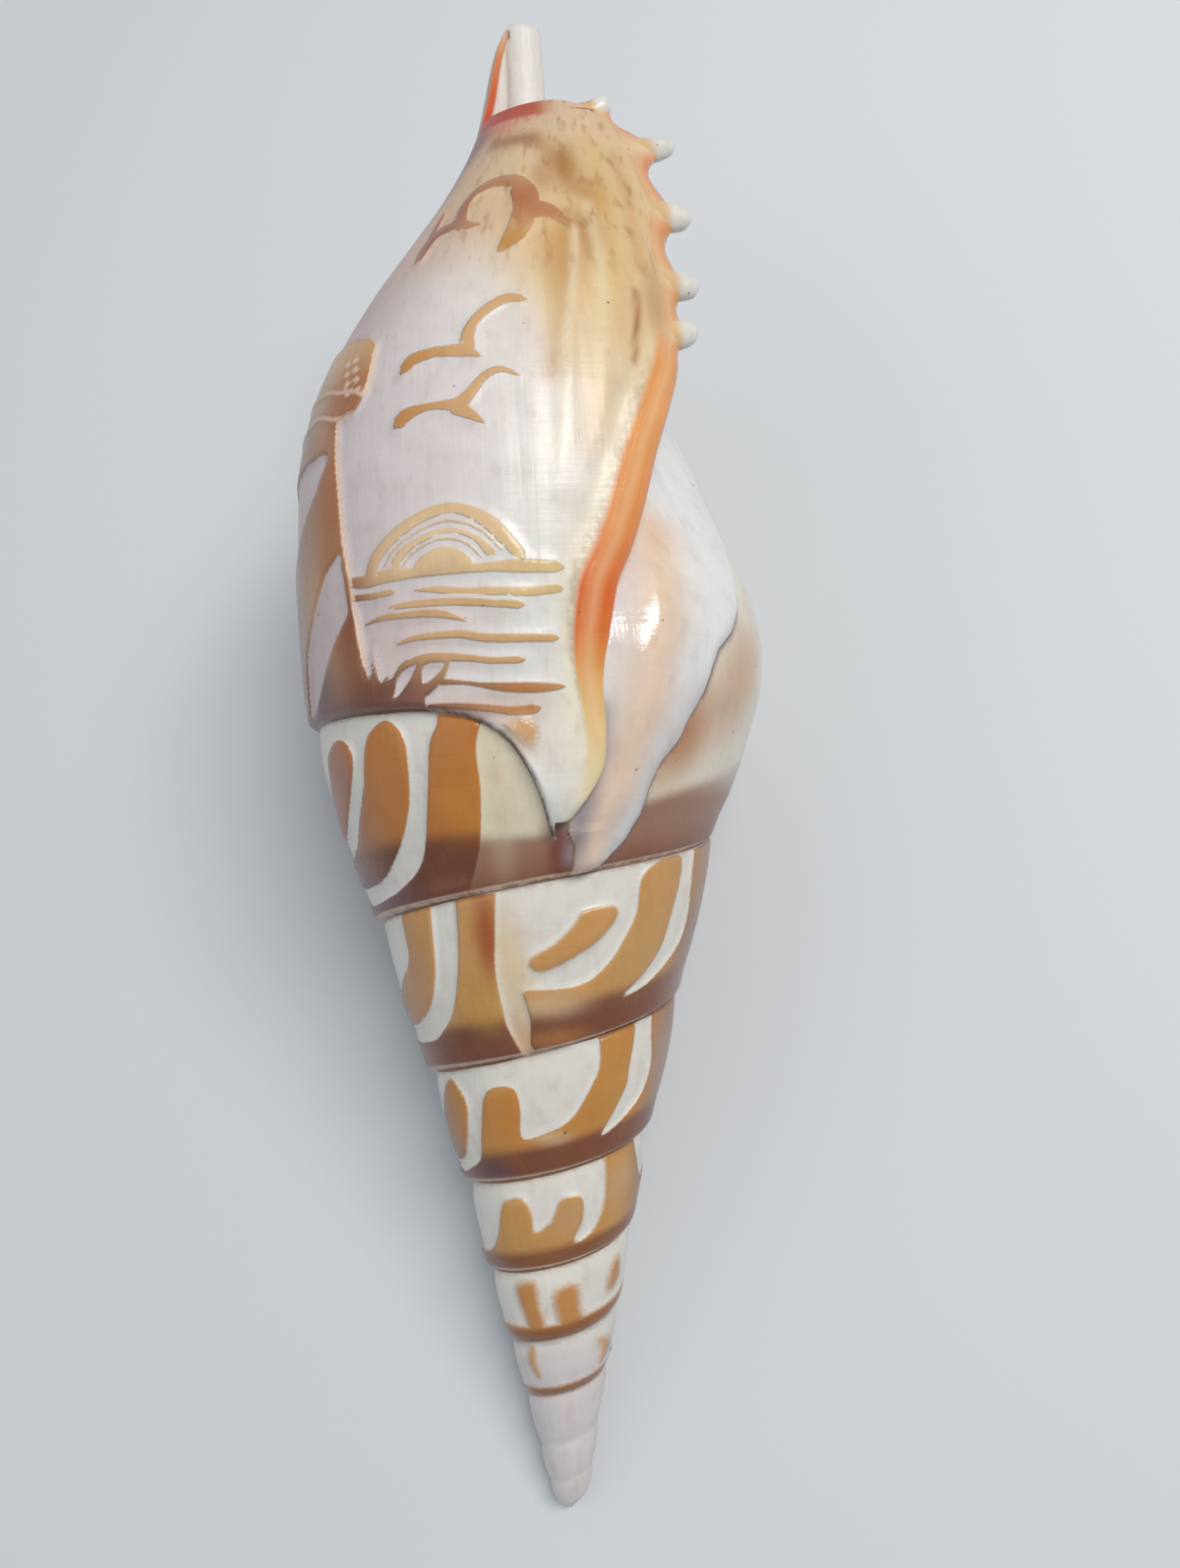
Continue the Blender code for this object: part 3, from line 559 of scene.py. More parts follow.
def bars() -> list[Figure]:
    """Bars and hooks left standing on the whorls of the spire."""
    return [
        Figure(6, [(-55, 76.4), (-49.6, 75.8), (-48.8, 74.1), (-55.8, 71.1), (-66, 68.4), (-76, 67.2),
                   (-72, 70.2), (-65.3, 73.5), (-61.9, 75.3)]),
        Figure(6, [(-39, 76.8), (-34, 77.4), (-29.8, 75.8), (-30.4, 72.6), (-33.3, 69.6), (-38.6, 67.1),
                   (-45, 65.2), (-51.8, 63.8), (-62, 62.9), (-80, 62.6), (-78, 65), (-63.7, 66.6),
                   (-55, 69), (-46.8, 72.2), (-42.1, 75.7)]),
        Figure(6, [(-19, 78.2), (-20.6, 76.6), (-23, 75.1), (-26, 71.2), (-30.5, 67), (-35.6, 64.5),
                   (-44, 62.9), (-53, 61.9), (-69.3, 60.9), (-100, 60), (-100, 54), (-32.5, 56),
                   (-29, 60.1), (-21.8, 61.7), (-16.8, 64.8), (-14.2, 67.3), (-12.4, 70.9), (-12.2, 74.3),
                   (-10.8, 76.2), (-9, 78.2)]),
        Figure(5, [(-52, 64), (-37.4, 64), (-38, 57.6), (-41.2, 54.1), (-48.2, 51.5), (-60, 49.8),
                   (-74, 49.2), (-76, 51.2), (-63.3, 53.9), (-53, 56.4)]),
        Figure(5, [(-24, 65), (-27.6, 58), (-30.9, 54.2), (-36.9, 51), (-45, 49.2), (-53.9, 48.1),
                   (-71.5, 47.4), (-100, 46.6), (-100, 39), (-6, 42), (-6.4, 45.4), (-10.5, 47.4),
                   (-14.5, 49.6), (-15.3, 51.5), (-15.9, 55.1), (-14.2, 59), (-13, 65)]),
        Figure(5, [(-7.5, 53.1), (6.5, 53.1), (13, 53.3), (18.4, 53.9), (24.6, 55.4), (29, 57.3),
                   (32.7, 59.4), (35, 63), (51.5, 64), (48.1, 57.5), (44.6, 55.2), (37.7, 53.2),
                   (30.5, 51.7), (40, 52.3), (47.3, 53.4), (57.4, 55.6), (61.1, 58.2), (63, 66),
                   (108, 66), (104, 52), (96, 44), (22, 42), (16.4, 46.9), (6.3, 47.2), (-2, 47.4),
                   (-5.9, 47.9), (-5.4, 50.3), (-6.9, 52.6)]),
        Figure(5, [(-3.1, 55), (-3.6, 56), (4.6, 57.2), (11.1, 58.9), (14, 59.9), (23.5, 60.2),
                   (25.4, 59.2), (18.6, 57.1), (9.6, 55.7), (1.3, 54.8)], soft=0.22),
        Figure(4, [(-53, 44.3), (-47, 43.6), (-43, 42.2), (-46.3, 39.7), (-56.5, 36.8), (-72, 35.8),
                   (-73, 37.7), (-66, 41.3), (-59.8, 43.2)], soft=0.16),
        Figure(4, [(-100, 34.6), (-70, 34.6), (-53.4, 35.6), (-46, 36.3), (-42, 37.2), (-36.6, 39.9),
                   (-32.2, 42.6), (-28.3, 43.7), (-20.5, 44.1), (-14.9, 43.7), (-13.8, 41.7),
                   (-15.2, 39.5), (-12.5, 39), (0.3, 39.7), (7, 40.3), (12.6, 41.3), (18.8, 43.4),
                   (23.3, 45.6), (24.5, 50), (41, 50), (38.8, 44.8), (38.3, 43.2), (32.3, 40.7),
                   (26.5, 38.7), (33, 39.1), (40, 40), (49.9, 41.8), (54.4, 44.3), (56, 50), (108, 50),
                   (104, 40), (96, 30), (-100, 28)]),
        Figure(3, [(-100, 25.6), (-61.8, 26.9), (-48.4, 28.2), (-41.2, 30), (-37.4, 31.6), (-33, 32.6),
                   (-24, 33), (-18.8, 32.8), (-15.3, 31.5), (-15.2, 29.9), (-12, 29.8), (-8.8, 30.1),
                   (-2.9, 30.8), (0.4, 31.9), (3.4, 32.8), (10.3, 33.1), (17.4, 32.7), (17.4, 30.6),
                   (11.2, 28.6), (20, 28.9), (26.4, 29.6), (31.6, 31.2), (33, 33.5), (35, 38), (58, 38),
                   (60, 35.8), (67.2, 33.5), (80, 32.6), (100, 33), (100, 22), (-100, 20)], soft=0.2),
        Figure(2, [(-38.5, 23.7), (-30, 24.5), (-19.5, 24.5), (-18, 22.4), (-15, 19.8), (-24, 18.8),
                   (-31.6, 19.6), (-35, 21.4)], soft=0.5),
        Figure(2, [(-5.5, 23.2), (4.5, 24.2), (15.4, 24), (16.8, 21.8), (24, 20.4), (28.8, 19.8),
                   (16, 18.8), (-6.7, 18.8), (-3, 20.6)], soft=0.55),
        Figure(2, [(43, 23.4), (48, 25.2), (56, 25.6), (60, 23.8), (50, 22.6)], soft=0.6),
        stroke(2, [(-100, 17.9, 0.9), (-30, 19.1, 0.9), (0, 19.6, 0.85), (30, 20.2, 0.85),
                   (60, 20.9, 0.8), (100, 22, 0.8)], soft=0.3),
        stroke(1, [(-34, 17.6, 0.35), (-37, 16.2, 0.5), (-31, 14.8, 0.3)], soft=0.45),
        stroke(1, [(42, 17.8, 0.3), (54, 16.8, 0.7), (50, 15.6, 0.4)], soft=0.6),
        stroke(1, [(-100, 11.9, 0.45), (-50, 12.75, 0.5), (100, 15, 0.45)], soft=0.35),
    ]


@dataclass(frozen=True)
class HiddenBars:
    """Bars on the side of a spire whorl that the photo doesn't show.

    Args:
        whorl: number of the whorl.
        first: angle of the first bar.
        until: angle at which they end.
        pitch: degrees from one bar to the next.
        band: angle at which the band along the suture starts.
    """

    whorl: int
    first: float
    until: float
    pitch: float
    band: float

    bar = ((-9, 0.18, 0.9), (0, 0.42, 0.95), (3, 0.82, 0.9))
    band_pitch = 14.5
    band_count = 14
    band_width = 1.6

    def wide(self, width: float) -> float:
        """A width on the fifth whorl, brought to this one."""
        return width * WHORL_RADIUS[self.whorl] / WHORL_RADIUS[5]

    def figures(self) -> list[Figure]:
        """The bars, each by degrees, share of the whorl's height and half width, then the band."""
        result = []
        for angle in np.arange(self.first, self.until, self.pitch).tolist():
            turn = turn_of(self.whorl, angle)
            low = float(SUTURE(turn))
            rise = float(SUTURE(turn + 1)) - low
            run = [(angle + by, low + share * rise, self.wide(width)) for by, share, width in self.bar]
            result.append(stroke(self.whorl, run))
        ring = [self.band + self.band_pitch * k for k in range(self.band_count)]
        return [*result, band_along(self.whorl, ring, self.wide(self.band_width))]


def band_along(whorl: int, ring: Sequence[float], width: float) -> Figure:
    """A band just over the suture, through a ring of angles."""
    return stroke(whorl, [(angle, float(SUTURE(turn_of(whorl, angle))) + 1.0, width) for angle in ring])


def hidden_figures() -> list[Figure]:
    """Bars round the back of the spire, and gulls over sea lines on the back of the body whorl."""
    result = []
    for row in (HiddenBars(6, -168, -92, 24, -268), HiddenBars(5, 118, 255, 27, 90),
                HiddenBars(4, 118, 255, 30, 90), HiddenBars(3, 118, 255, 34, 90)):
        result += row.figures()
    result += [shifted(figure, -150.0) for figure in gulls()[:6] + sea_lines()[:7] + half_sun()]
    return [*result, band_along(LAST_WHORL, range(-232, -100, 12), 2.2)]


def callus() -> Figure:
    """White callus laid over the whorl before, from the aperture down to its pointed end."""
    return Figure(6, [
        (78, 104.7), (74, 100), (70, 96.4), (66, 92.6), (60.5, 88.8), (57.5, 86.4), (53.1, 84.2),
        (47.5, 82.5), (45.5, 81), (42.6, 78.3), (39.5, 76.5), (37.3, 74.5), (32.5, 72.5), (30.5, 70.5),
        (29.5, 68.1), (26, 65.9), (20, 64.2), (13.9, 62.5), (9.4, 61.7), (10, 64.4), (10.4, 65.8),
        (8.9, 66.8), (9, 70), (6, 74), (0, 78), (-10, 84), (-40, 110), (60, 118), (80, 112),
    ], Mark.CALLUS, 0.1)


@dataclass(frozen=True)
class Blush:
    """A soft patch of another colour.

    Args:
        whorl: number of the whorl.
        at: angle and height of its middle.
        size: half widths round and along the shell, millimetres.
        colour: the colour at its middle.
        strength: how far the colour goes there.
        lean: turns the patch, degrees.
    """

    whorl: int
    at: tuple[float, float]
    size: tuple[float, float]
    colour: str
    strength: float = 1.0
    lean: float = 0.0

    def weight(self, angle: Array, height: Array) -> Array:
        """Strength of the patch at each point."""
        across = (angle - self.at[0]) * math.radians(WHORL_RADIUS[self.whorl])
        along = height - self.at[1]
        turn = math.radians(self.lean)
        one = (across * math.cos(turn) + along * math.sin(turn)) / self.size[0]
        other = (along * math.cos(turn) - across * math.sin(turn)) / self.size[1]
        return self.strength * np.exp(-(one**2 + other**2) ** 1.3)


@dataclass(frozen=True)
class Streak:
    """A soft line of another colour along the shell's growth; two of them are painted shade in the slot by
    the callus.

    Args:
        whorl: number of the whorl.
        points: angle and height along it.
        width: half width in millimetres.
        colour: its colour.
        strength: how far the colour goes.
    """

    whorl: int
    points: Points
    width: float
    colour: str
    strength: float = 1.0

    def weight(self, angle: Array, height: Array) -> Array:
        """Strength of the streak at each point."""
        line = Figure(self.whorl, [(*p, 0.0) for p in self.points])
        return self.strength * bell(line.depth_inside(angle, height), self.width)


# The callus ridge from its middle down to its pointed end
CALLUS_RUN = [
    (29.2, 84.5), (26.3, 80.9), (25, 77.3), (21.7, 73.9), (19.3, 70.3), (14.9, 66.9), (10.9, 63.4),
]
GROUND_STREAKS = [
    Streak(7, [(15.3, 120.5), (13.6, 115), (11, 109.5), (9, 105)], 1.2, "BC8E50", 0.55),
    Streak(7, [(17.6, 119), (15.3, 114.1), (12.8, 110.1), (10.7, 106.4), (8.6, 101.3),
               (7.2, 97.1)], 0.4, "E4DAC0", 0.5),
    Streak(7, [(26, 129), (27, 123), (25, 115), (20, 107), (15, 99)], 1.5, "C69C5A", 0.4),
    Streak(7, [(33, 128), (34, 122), (32.6, 116)], 0.9, "BE884C", 0.45),
    Streak(7, [(29.4, 113.2), (28.4, 111), (27, 108.6), (25.8, 106.2)], 0.32, "9A5F2C", 0.85),
    Streak(7, [(22, 122), (22.6, 117), (20.6, 111), (17.6, 105)], 0.6, "E2D6B2", 0.45),
    Streak(7, [(-10, 131.6), (-3, 131.2), (4, 131), (7, 130.7)], 1, "8E5C34", 0.75),
    Streak(7, [(9, 130.6), (13, 128.8), (17, 126.4), (19, 124)], 1.2, "A4733C", 0.6),
    Streak(7, [(24, 103), (20, 97), (16.4, 93), (11, 88), (8.6, 82), (9.4, 76)], 0.7, "E6DCC4", 0.6),
    Streak(6, [(57.5, 86.4), (53.1, 84.2), (47.5, 82.5), (45.5, 81), (42.6, 78.3)], 0.28, "6A4650", 0.8),
    # Painted shade: a grey-mauve streak down the slot between the lobe and the callus
    Streak(6, [(16, 77), (16, 73.4), (13.6, 70.7), (11.4, 67), (10.2, 64.8)], 1, "93868C", 0.75),
]
CALLUS_STREAKS = [
    Streak(6, [(34, 93), (31, 88), *CALLUS_RUN], 2.4, "E0BE9E", 0.8),
    # Painted shade: the same grey-mauve streak down the slot, on the callus's left border
    Streak(6, [(15.6, 77), (15.6, 73.4), (13.4, 70.7), (11.4, 67), (10.4, 64.8)], 0.9, "8E848C", 0.8),
    Streak(6, [(40, 79), (34, 75), (29, 70)], 1, "C9C2BE", 0.7),
]
GROUND_BLUSHES = [
    # Painted shade: a broad grey-mauve band toward the body whorl's left outline
    Blush(7, (-70, 100), (14, 40), "B79E9E", 0.6),
    Blush(7, (-55, 122), (11, 14), "B08F8A", 0.75),
    Blush(7, (-20, 99), (16, 12), "D5C8C6", 0.7),
    Blush(7, (-14, 128), (14, 9), "C49A7C", 0.85),
    Blush(7, (12, 126), (12, 9), "D2B890", 0.9),
    Blush(7, (30, 122), (7, 12), "CDB186", 0.85),
    Blush(7, (14, 117), (6, 8), "D3AE78", 0.7),
    Blush(7, (24, 113), (6, 12), "D6BA88", 0.7),
    Blush(7, (31, 108), (3, 8), "D2B084", 0.5),
    Blush(7, (13, 108), (1.6, 9), "D8C08C", 0.5, 12),
    Blush(7, (18, 127), (1.5, 2.6), "A06C30", 0.8),
    Blush(7, (21, 119), (1.6, 2.6), "A06A38", 0.8),
    Blush(7, (24, 123), (1.6, 2.4), "B07C3C", 0.7),
    Blush(7, (13.7, 116), (2.2, 3.2), "BA8250", 0.65),
    Blush(7, (11, 125.5), (1.4, 2.2), "A87448", 0.6),
    Blush(7, (34, 112), (1.4, 4.5), "A5713F", 0.55, -12),
    Blush(7, (30.5, 103), (1, 3), "CFA25E", 0.5, -20),
    Blush(7, (-16, 133.9), (8, 1.5), "C9745A", 0.7),
    Blush(7, (-26, 133.6), (4.2, 2.6), "6E4A52", 0.8),
    Blush(7, (-36, 131), (5, 5), "7A5250", 0.8),
    Blush(7, (-10, 77.6), (7, 1.4), "B0846E", 0.6),
    Blush(7, (-24, 84), (7, 4), "CDB6B0", 0.6),
    Blush(7, (-2, 74.6), (2.6, 1.6), "C9A584", 0.5),
    Blush(7, (4, 92), (5, 12), "DFDCD6", 0.6),
    Blush(7, (12, 90), (2.5, 14), "E2DACA", 0.5),
    Blush(7, (14, 76), (4, 6), "E2DCCB", 0.6),
    Blush(6, (38, 75), (3.2, 4.5), "A8683C", 0.85, -35),
    Blush(6, (58, 80), (3.5, 6), "B98A66", 0.7, -20),
    Blush(6, (-9, 71), (1.4, 7), "D8C6A0", 0.4),
    # Painted shade: dark red-brown deepened at the closed end of the slot by the callus
    Blush(6, (7, 65), (1.2, 2.6), "6E2A16", 0.95),
    Blush(5, (-10, 55), (1.6, 6), "D6BE98", 0.9, 4),
    Blush(5, (-8, 48), (1.4, 3), "C99E78", 0.9, 14),
]


@dataclass(frozen=True)
class WhorlTint:
    """Colours of the raised layer on one whorl of the spire.

    Args:
        upper: colour of the bars.
        lower: colour of the band along the suture below.
        change: share of the whorl's height at which one turns to the other.
        side: painted shade, a mauve-grey colour toward the outline on both sides.
    """

    upper: str
    lower: str
    change: float
    side: str


WHORL_TINTS = {
    6: WhorlTint("B87434", "6E3E28", 0.34, "84605A"),
    5: WhorlTint("C08E54", "764430", 0.26, "8C6A60"),
    4: WhorlTint("BC8240", "7A4830", 0.26, "7C5C5A"),
    3: WhorlTint("BE8C50", "845434", 0.22, "84645C"),
    2: WhorlTint("BE864A", "8E5A34", 0.2, "9A7C6A"),
    1: WhorlTint("C49A68", "94663E", 0.2, "A08878"),
}
LAYER_BLUSHES = [
    Blush(7, (-22, 102), (3, 2), "B8792F", 0.7),
    Blush(7, (-21, 107), (3, 1.6), "B8792F", 0.7),
    Blush(7, (-44, 95), (3.4, 13), "A86638", 0.9),
    Blush(7, (-40, 86), (3, 6), "8A4C30", 0.9),
    Blush(7, (-38, 106), (4.5, 3), "A5623C", 0.9),
    Blush(7, (-60, 100), (4.6, 10), "92614C", 0.8),
    # Painted shade: a broad grey-mauve band on the raised layer toward the left outline
    Blush(7, (-80, 92), (8, 30), "86706E", 0.95),
    Blush(7, (-32, 79), (6.5, 3.4), "6A3422", 0.97),
    Blush(7, (-58, 80), (4.5, 5), "62424A", 0.95),
    Blush(7, (-50, 78), (14, 1.5), "74504E", 0.8),
    Blush(7, (-10, 78.8), (6, 1.6), "8A5236", 0.8),
    Blush(7, (-1, 78.3), (3, 1.6), "B4753C", 0.8),
    Blush(7, (2, 88), (5, 2.6), "D6BE86", 0.7),
    Blush(7, (-14, 91.5), (8, 3.6), "DCBE94", 0.95),
    Blush(7, (-14, 124), (7, 4), "9A5E4A", 0.85),
    Blush(7, (-22, 120), (4, 3), "8A5C54", 0.85),
    Blush(7, (6, 123), (3, 2.4), "A6613A", 0.85),
    Blush(7, (2, 118), (2.2, 1.6), "B5803C", 0.85),
    Blush(7, (12, 121), (3, 1.4), "AE7044", 0.8),
    Blush(6, (-17, 70), (3.2, 3), "C27C30", 0.6),
    Blush(6, (-38, 73), (3, 4), "B87A40", 0.6),
    Blush(6, (-56, 72), (2.4, 5), "9C6A58", 0.8),
    Blush(6, (-60, 61.5), (7, 2), "6A4A50", 0.9),
    Blush(5, (-17, 58.2), (1.1, 4.2), "9A4A20", 0.9),
    Blush(5, (-22, 52), (2.2, 2.4), "BC9048", 0.8),
    Blush(5, (-52, 54), (3, 3.5), "B98860", 0.8),
    Blush(5, (4, 48.4), (3.6, 1), "A26A3C", 0.8),
    Blush(5, (-22, 46.6), (3, 1.6), "744438", 0.8),
    Blush(5, (2, 51.6), (3.5, 1.2), "CFAE88", 0.7),
    Blush(5, (33, 56), (3.2, 3.2), "BE955C", 0.7),
    Blush(5, (70, 54), (4, 6), "8E7468", 0.8),
    Blush(4, (-18, 41), (1.5, 2.4), "BE7C34", 0.7),
    Blush(4, (-16, 36.6), (1.5, 1), "7A4628", 0.7),
    Blush(4, (-36, 35.5), (2.6, 1.2), "60424C", 0.85),
    Blush(4, (0, 39), (1.8, 0.6), "C4A884", 0.8),
    Blush(4, (32, 43), (1.6, 2.5), "BC8A44", 0.7),
    Blush(4, (66, 45), (3, 4), "A08878", 0.7),
    Blush(3, (-25, 31), (1.6, 1.8), "C28E4C", 0.7),
    Blush(3, (8, 31), (1.8, 1.6), "BE9468", 0.7),
    Blush(3, (-3, 26.4), (2.4, 0.7), "8E5028", 0.8),
    Blush(3, (-56, 26.2), (2.2, 0.9), "806860", 0.8),
    Blush(3, (44, 33.5), (1.5, 2), "BE9670", 0.8),
]


class Place(Enum):
    """Which surface of the shell a point of the skin is on."""

    OUTSIDE = 0
    LIP = 1
    INSIDE = 2
    BEFORE = 3


@dataclass
class Skin:
    """Points and faces of the whole skin, with the numbers that its colours are worked out from."""

    turn: list[Array] = field(default_factory=list)
    height: list[Array] = field(default_factory=list)
    step: list[Array] = field(default_factory=list)
    share: list[Array] = field(default_factory=list)
    place: list[Array] = field(default_factory=list)
    faces: Faces = field(default_factory=list)
    count: int = 0

    def add(
        self, turn: Array, height: Array, step: Array | float, share: Array | float, place: Place
    ) -> Array:
        """Adds a row of points and returns their numbers.

        Args:
            turn: turn of each point.
            height: height of each point.
            step: share of the lip's length.
            share: share of the way across the whorl, the lip or the hollow.
            place: the surface they are on.

        Returns:
            The numbers of the new points.
        """
        size = len(turn)
        self.turn.append(np.asarray(turn, float))
        self.height.append(np.asarray(height, float))
        self.step.append(np.broadcast_to(np.asarray(step, float), size))
        self.share.append(np.broadcast_to(np.asarray(share, float), size))
        self.place.append(np.full(size, place.value))
        self.count += size
        return np.arange(self.count - size, self.count)

    def quads(self, one: Array, other: Array) -> None:
        """Faces between two rows of equal length, the second a step further round."""
        self.faces += list(zip(one[:-1].tolist(), other[:-1].tolist(), other[1:].tolist(), one[1:].tolist()))

    def zipped(self, one: Array, other: Array) -> None:
        """Faces between two rows of unequal length."""
        a, b = 0, 0
        while a < len(one) - 1 or b < len(other) - 1:
            on_a, on_b = (a + 1) / max(len(one) - 1, 1), (b + 1) / max(len(other) - 1, 1)
            if b == len(other) - 1 or (a < len(one) - 1 and on_a <= on_b):
                self.faces.append((int(one[a]), int(other[b]), int(one[a + 1])))
                a += 1
            else:
                self.faces.append((int(one[a]), int(other[b]), int(other[b + 1])))
                b += 1


@dataclass
class Fineness:
    """How finely the skin is divided."""

    near: int = 110
    hidden: int = 56
    whorl_rows: tuple[int, int, int] = (42, 22, 12)
    coarse_after: tuple[int, int] = (3, 6)
    lobe_rows: int = 6
    body_rows: int = 164
    lip_steps: int = 10
    hollow_steps: int = 22


@dataclass(frozen=True)
class LipPoint:
    """One of the points along the lip.

    Args:
        step: share of the lip's length at which it rises.
        angle: angle of its tip.
        height: height of its tip.
        wide: its thickness, 1 for the plain profile.
        spread: share of the lip's length over which the lip rises to it.
    """

    step: float
    angle: float
    height: float
    wide: float
    spread: float


LIP_POINTS = [
    LipPoint(0.445, 44.8, 110.6, 1.15, 0.033), LipPoint(0.515, 49.9, 115.6, 1.15, 0.036),
    LipPoint(0.592, 54.3, 123.2, 1.2, 0.037), LipPoint(0.665, 60.0, 132.4, 1.0, 0.033),
    LipPoint(0.722, 36.5, 135.4, 1.0, 0.028),
]
POINT_STEPS = [point.step for point in LIP_POINTS]


class ShellSkin:
    """The closed skin: whorls, lip, hollow and canal."""

    groove = 0.30
    wall_thickness = 1.8
    wall_least = 0.4
    hollow_least = 0.25
    hollow_turns = (0.55, 0.16)
    hollow_narrows = (0.60, 0.80)
    front_margin = (0.70, 0.76, 0.86, 0.93)
    lip_thickness = Curve([
        (0, 0.9), (0.08, 1.6), (0.2, 2.8), (0.45, 2.8), (0.6, 2.0), (0.75, 1.6), (0.86, 1.0), (1, 0.7),
    ])
    lip_reach = Curve([
        (0, 0.5), (0.07, 1.6), (0.2, 3.4), (0.4, 3.2), (0.5, 1.6), (0.7, 1.2), (0.8, 0.8), (1, 0.3),
    ])
    row_crowding = 0.35
    lip_fades = 10 / 3
    canal_from = 0.75
    canal_wall = 0.7
    canal_thins = 6
    end_closes = 0.8
    end_from = (0.8, 1.0)

    def __init__(self, fineness: Fineness) -> None:
        """Lays out the columns, from the lip back to the apex."""
        self.fine = fineness
        near, hidden = fineness.near, fineness.hidden
        away = near + np.arange(hidden) * (360 - 2 * near) / hidden
        self.back = np.concatenate([np.arange(near), away, 360 - near + np.arange(near)])
        self.per_turn = len(self.back)
        self.skin = Skin()
        self.firsts: dict[int, int] = {}
        self.columns: dict[int, Array] = {}

    def stride(self, position: int) -> int:
        """Columns are further apart on the small whorls near the apex."""
        first, second = self.fine.coarse_after
        turns = position / self.per_turn
        return 1 if turns < first else 2 if turns < second else 4

    def row_count(self, position: int) -> int:
        """Rows across the whorl at a column."""
        if position < self.per_turn:
            return self.fine.lobe_rows
        return self.fine.whorl_rows[{1: 0, 2: 1, 4: 2}[self.stride(position)]]

    def turn_at(self, position: int) -> float:
        """Turn of a column, counted back from the lip."""
        whole, rest = divmod(position, self.per_turn)
        return LAST_TURN - whole - self.back[rest] / 360

    def share_at(self, position: int) -> float:
        """Share of the last turn at a column, 1 at the lip."""
        return 0.0 if position == self.per_turn else 1 - self.back[position] / 360

    def whorls(self) -> None:
        """The helical strip: the top row of each whorl is the first row of the whorl one turn later."""
        positions = []
        position = 0
        while self.turn_at(position) > FIRST_TURN:
            if position % self.stride(position) == 0:
                positions.append(position)
            position += 1
        self.positions = positions
        for position in positions:
            turn = self.turn_at(position)
            low = float(SUTURE(turn))
            u = np.linspace(0, 1, self.row_count(position) + 1)
            u = u - self.row_crowding / (2 * np.pi) * np.sin(2 * np.pi * u)
            if position < self.per_turn:
                high = low + float(FORM.lift(self.share_at(position)))
            else:
                high = float(SUTURE(turn + 1))
                u = u[:-1]
            column = self.skin.add(np.full(len(u), turn), low + (high - low) * u, 0.0, u, Place.OUTSIDE)
            self.columns[position] = column
            self.firsts[position] = int(column[0])
        for position in positions:
            if position >= self.per_turn:
                top = self.firsts[position - self.per_turn]
                self.columns[position] = np.append(self.columns[position], top)

    def whorl_faces(self) -> None:
        """Faces of the strip, with the finer whorl's extra points let into the coarser one's top row."""
        for position, after in zip(self.positions[1:], self.positions):
            one, other = self.columns[position], self.columns[after]
            if len(one) != len(other) or (after < self.per_turn and position == self.per_turn):
                self.skin.zipped(one, other)
                continue
            later = range(position - self.per_turn - 1, after - self.per_turn, -1)
            extra = [self.firsts[p] for p in later if p in self.firsts] if after >= self.per_turn else []
            if extra:
                self.skin.quads(one[:-1], other[:-1])
                face = [int(one[-2]), int(other[-2]), int(other[-1]), *reversed(extra), int(one[-1])]
                self.skin.faces.append(tuple(face))
            else:
                self.skin.quads(one, other)

    def body(self) -> None:
        """Rows of the body whorl over the last turn, up to the tip of the canal."""
        steps = np.linspace(0, 1, self.fine.body_rows + 1)
        self.steps = steps
        self.rows: list[Array] = []
        for position in range(self.per_turn, -1, -1):
            share = self.share_at(position)
            turn = FORM.body_turn(steps[1:], share)
            height = FORM.body_height(steps[1:], np.full(len(steps) - 1, share))
            row = self.skin.add(turn, height, steps[1:], share, Place.OUTSIDE)
            self.rows.append(np.append(self.columns[position][-1], row))
        for one, other in zip(self.rows, self.rows[1:]):
            self.skin.quads(one, other)

    def lip(self) -> None:
        """Rounded lip, from the outer surface round to the inside of the wall."""
        edge = self.rows[-1]
        self.lip_lines = [edge]
        turn = FORM.body_turn(self.steps, 1.0)
        height = np.append(SUTURE(LAST_TURN), FORM.body_height(self.steps[1:], np.ones(len(self.steps) - 1)))
        for share in np.arange(1, self.fine.lip_steps + 1) / self.fine.lip_steps:
            self.lip_lines.append(self.skin.add(turn, height, self.steps, share, Place.LIP))
        for one, other in zip(self.lip_lines, self.lip_lines[1:]):
            self.skin.quads(one, other)

    def hollow(self) -> None:
        """Both walls of the hollow: the inside of the last whorl, and the whorl before."""
        deep, shallow = self.hollow_turns
        depth = deep + (shallow - deep) * ease(*self.hollow_narrows, self.steps)
        self.inner = [self.lip_lines[-1]]
        self.before = [self.rows[0]]
        self.inner_radius, self.before_radius = [], []
        past = self.wall_thickness - self.canal_thins * (self.steps - self.canal_from)
        past = np.maximum(self.canal_wall, past)
        later = np.where(self.steps < self.canal_from, self.wall_thickness, past)
        for share in np.arange(1, self.fine.hollow_steps + 1) / self.fine.hollow_steps:
            back = depth * share
            turn = FORM.body_turn(self.steps, 1.0) - back
            below = FORM.body_turn(self.steps, 0.0) - back
            height = FORM.body_height(self.steps, 1 - back)
            settle = min(1.0, share * self.lip_fades)
            wall = self.lip_thickness(self.steps) * (1 - settle) + later * settle
            outer, floor = FORM.radius(turn, height), FORM.radius(below, height)
            gap = np.maximum(outer - wall - floor, self.hollow_least)
            gap = gap * (1 - self.end_closes * float(ease(*self.end_from, share)))
            floor = np.minimum(floor, outer - self.wall_least - gap)
            self.inner.append(self.skin.add(turn, height, self.steps, share, Place.INSIDE))
            self.before.append(self.skin.add(below, height, self.steps, share, Place.BEFORE))
            self.inner_radius.append(floor + gap)
            self.before_radius.append(floor)
        for one, other in zip(self.inner, self.inner[1:]):
            self.skin.quads(one, other)
        for one, other in zip(self.before, self.before[1:]):
            self.skin.quads(other, one)
        self.skin.quads(self.inner[-1], self.before[-1])

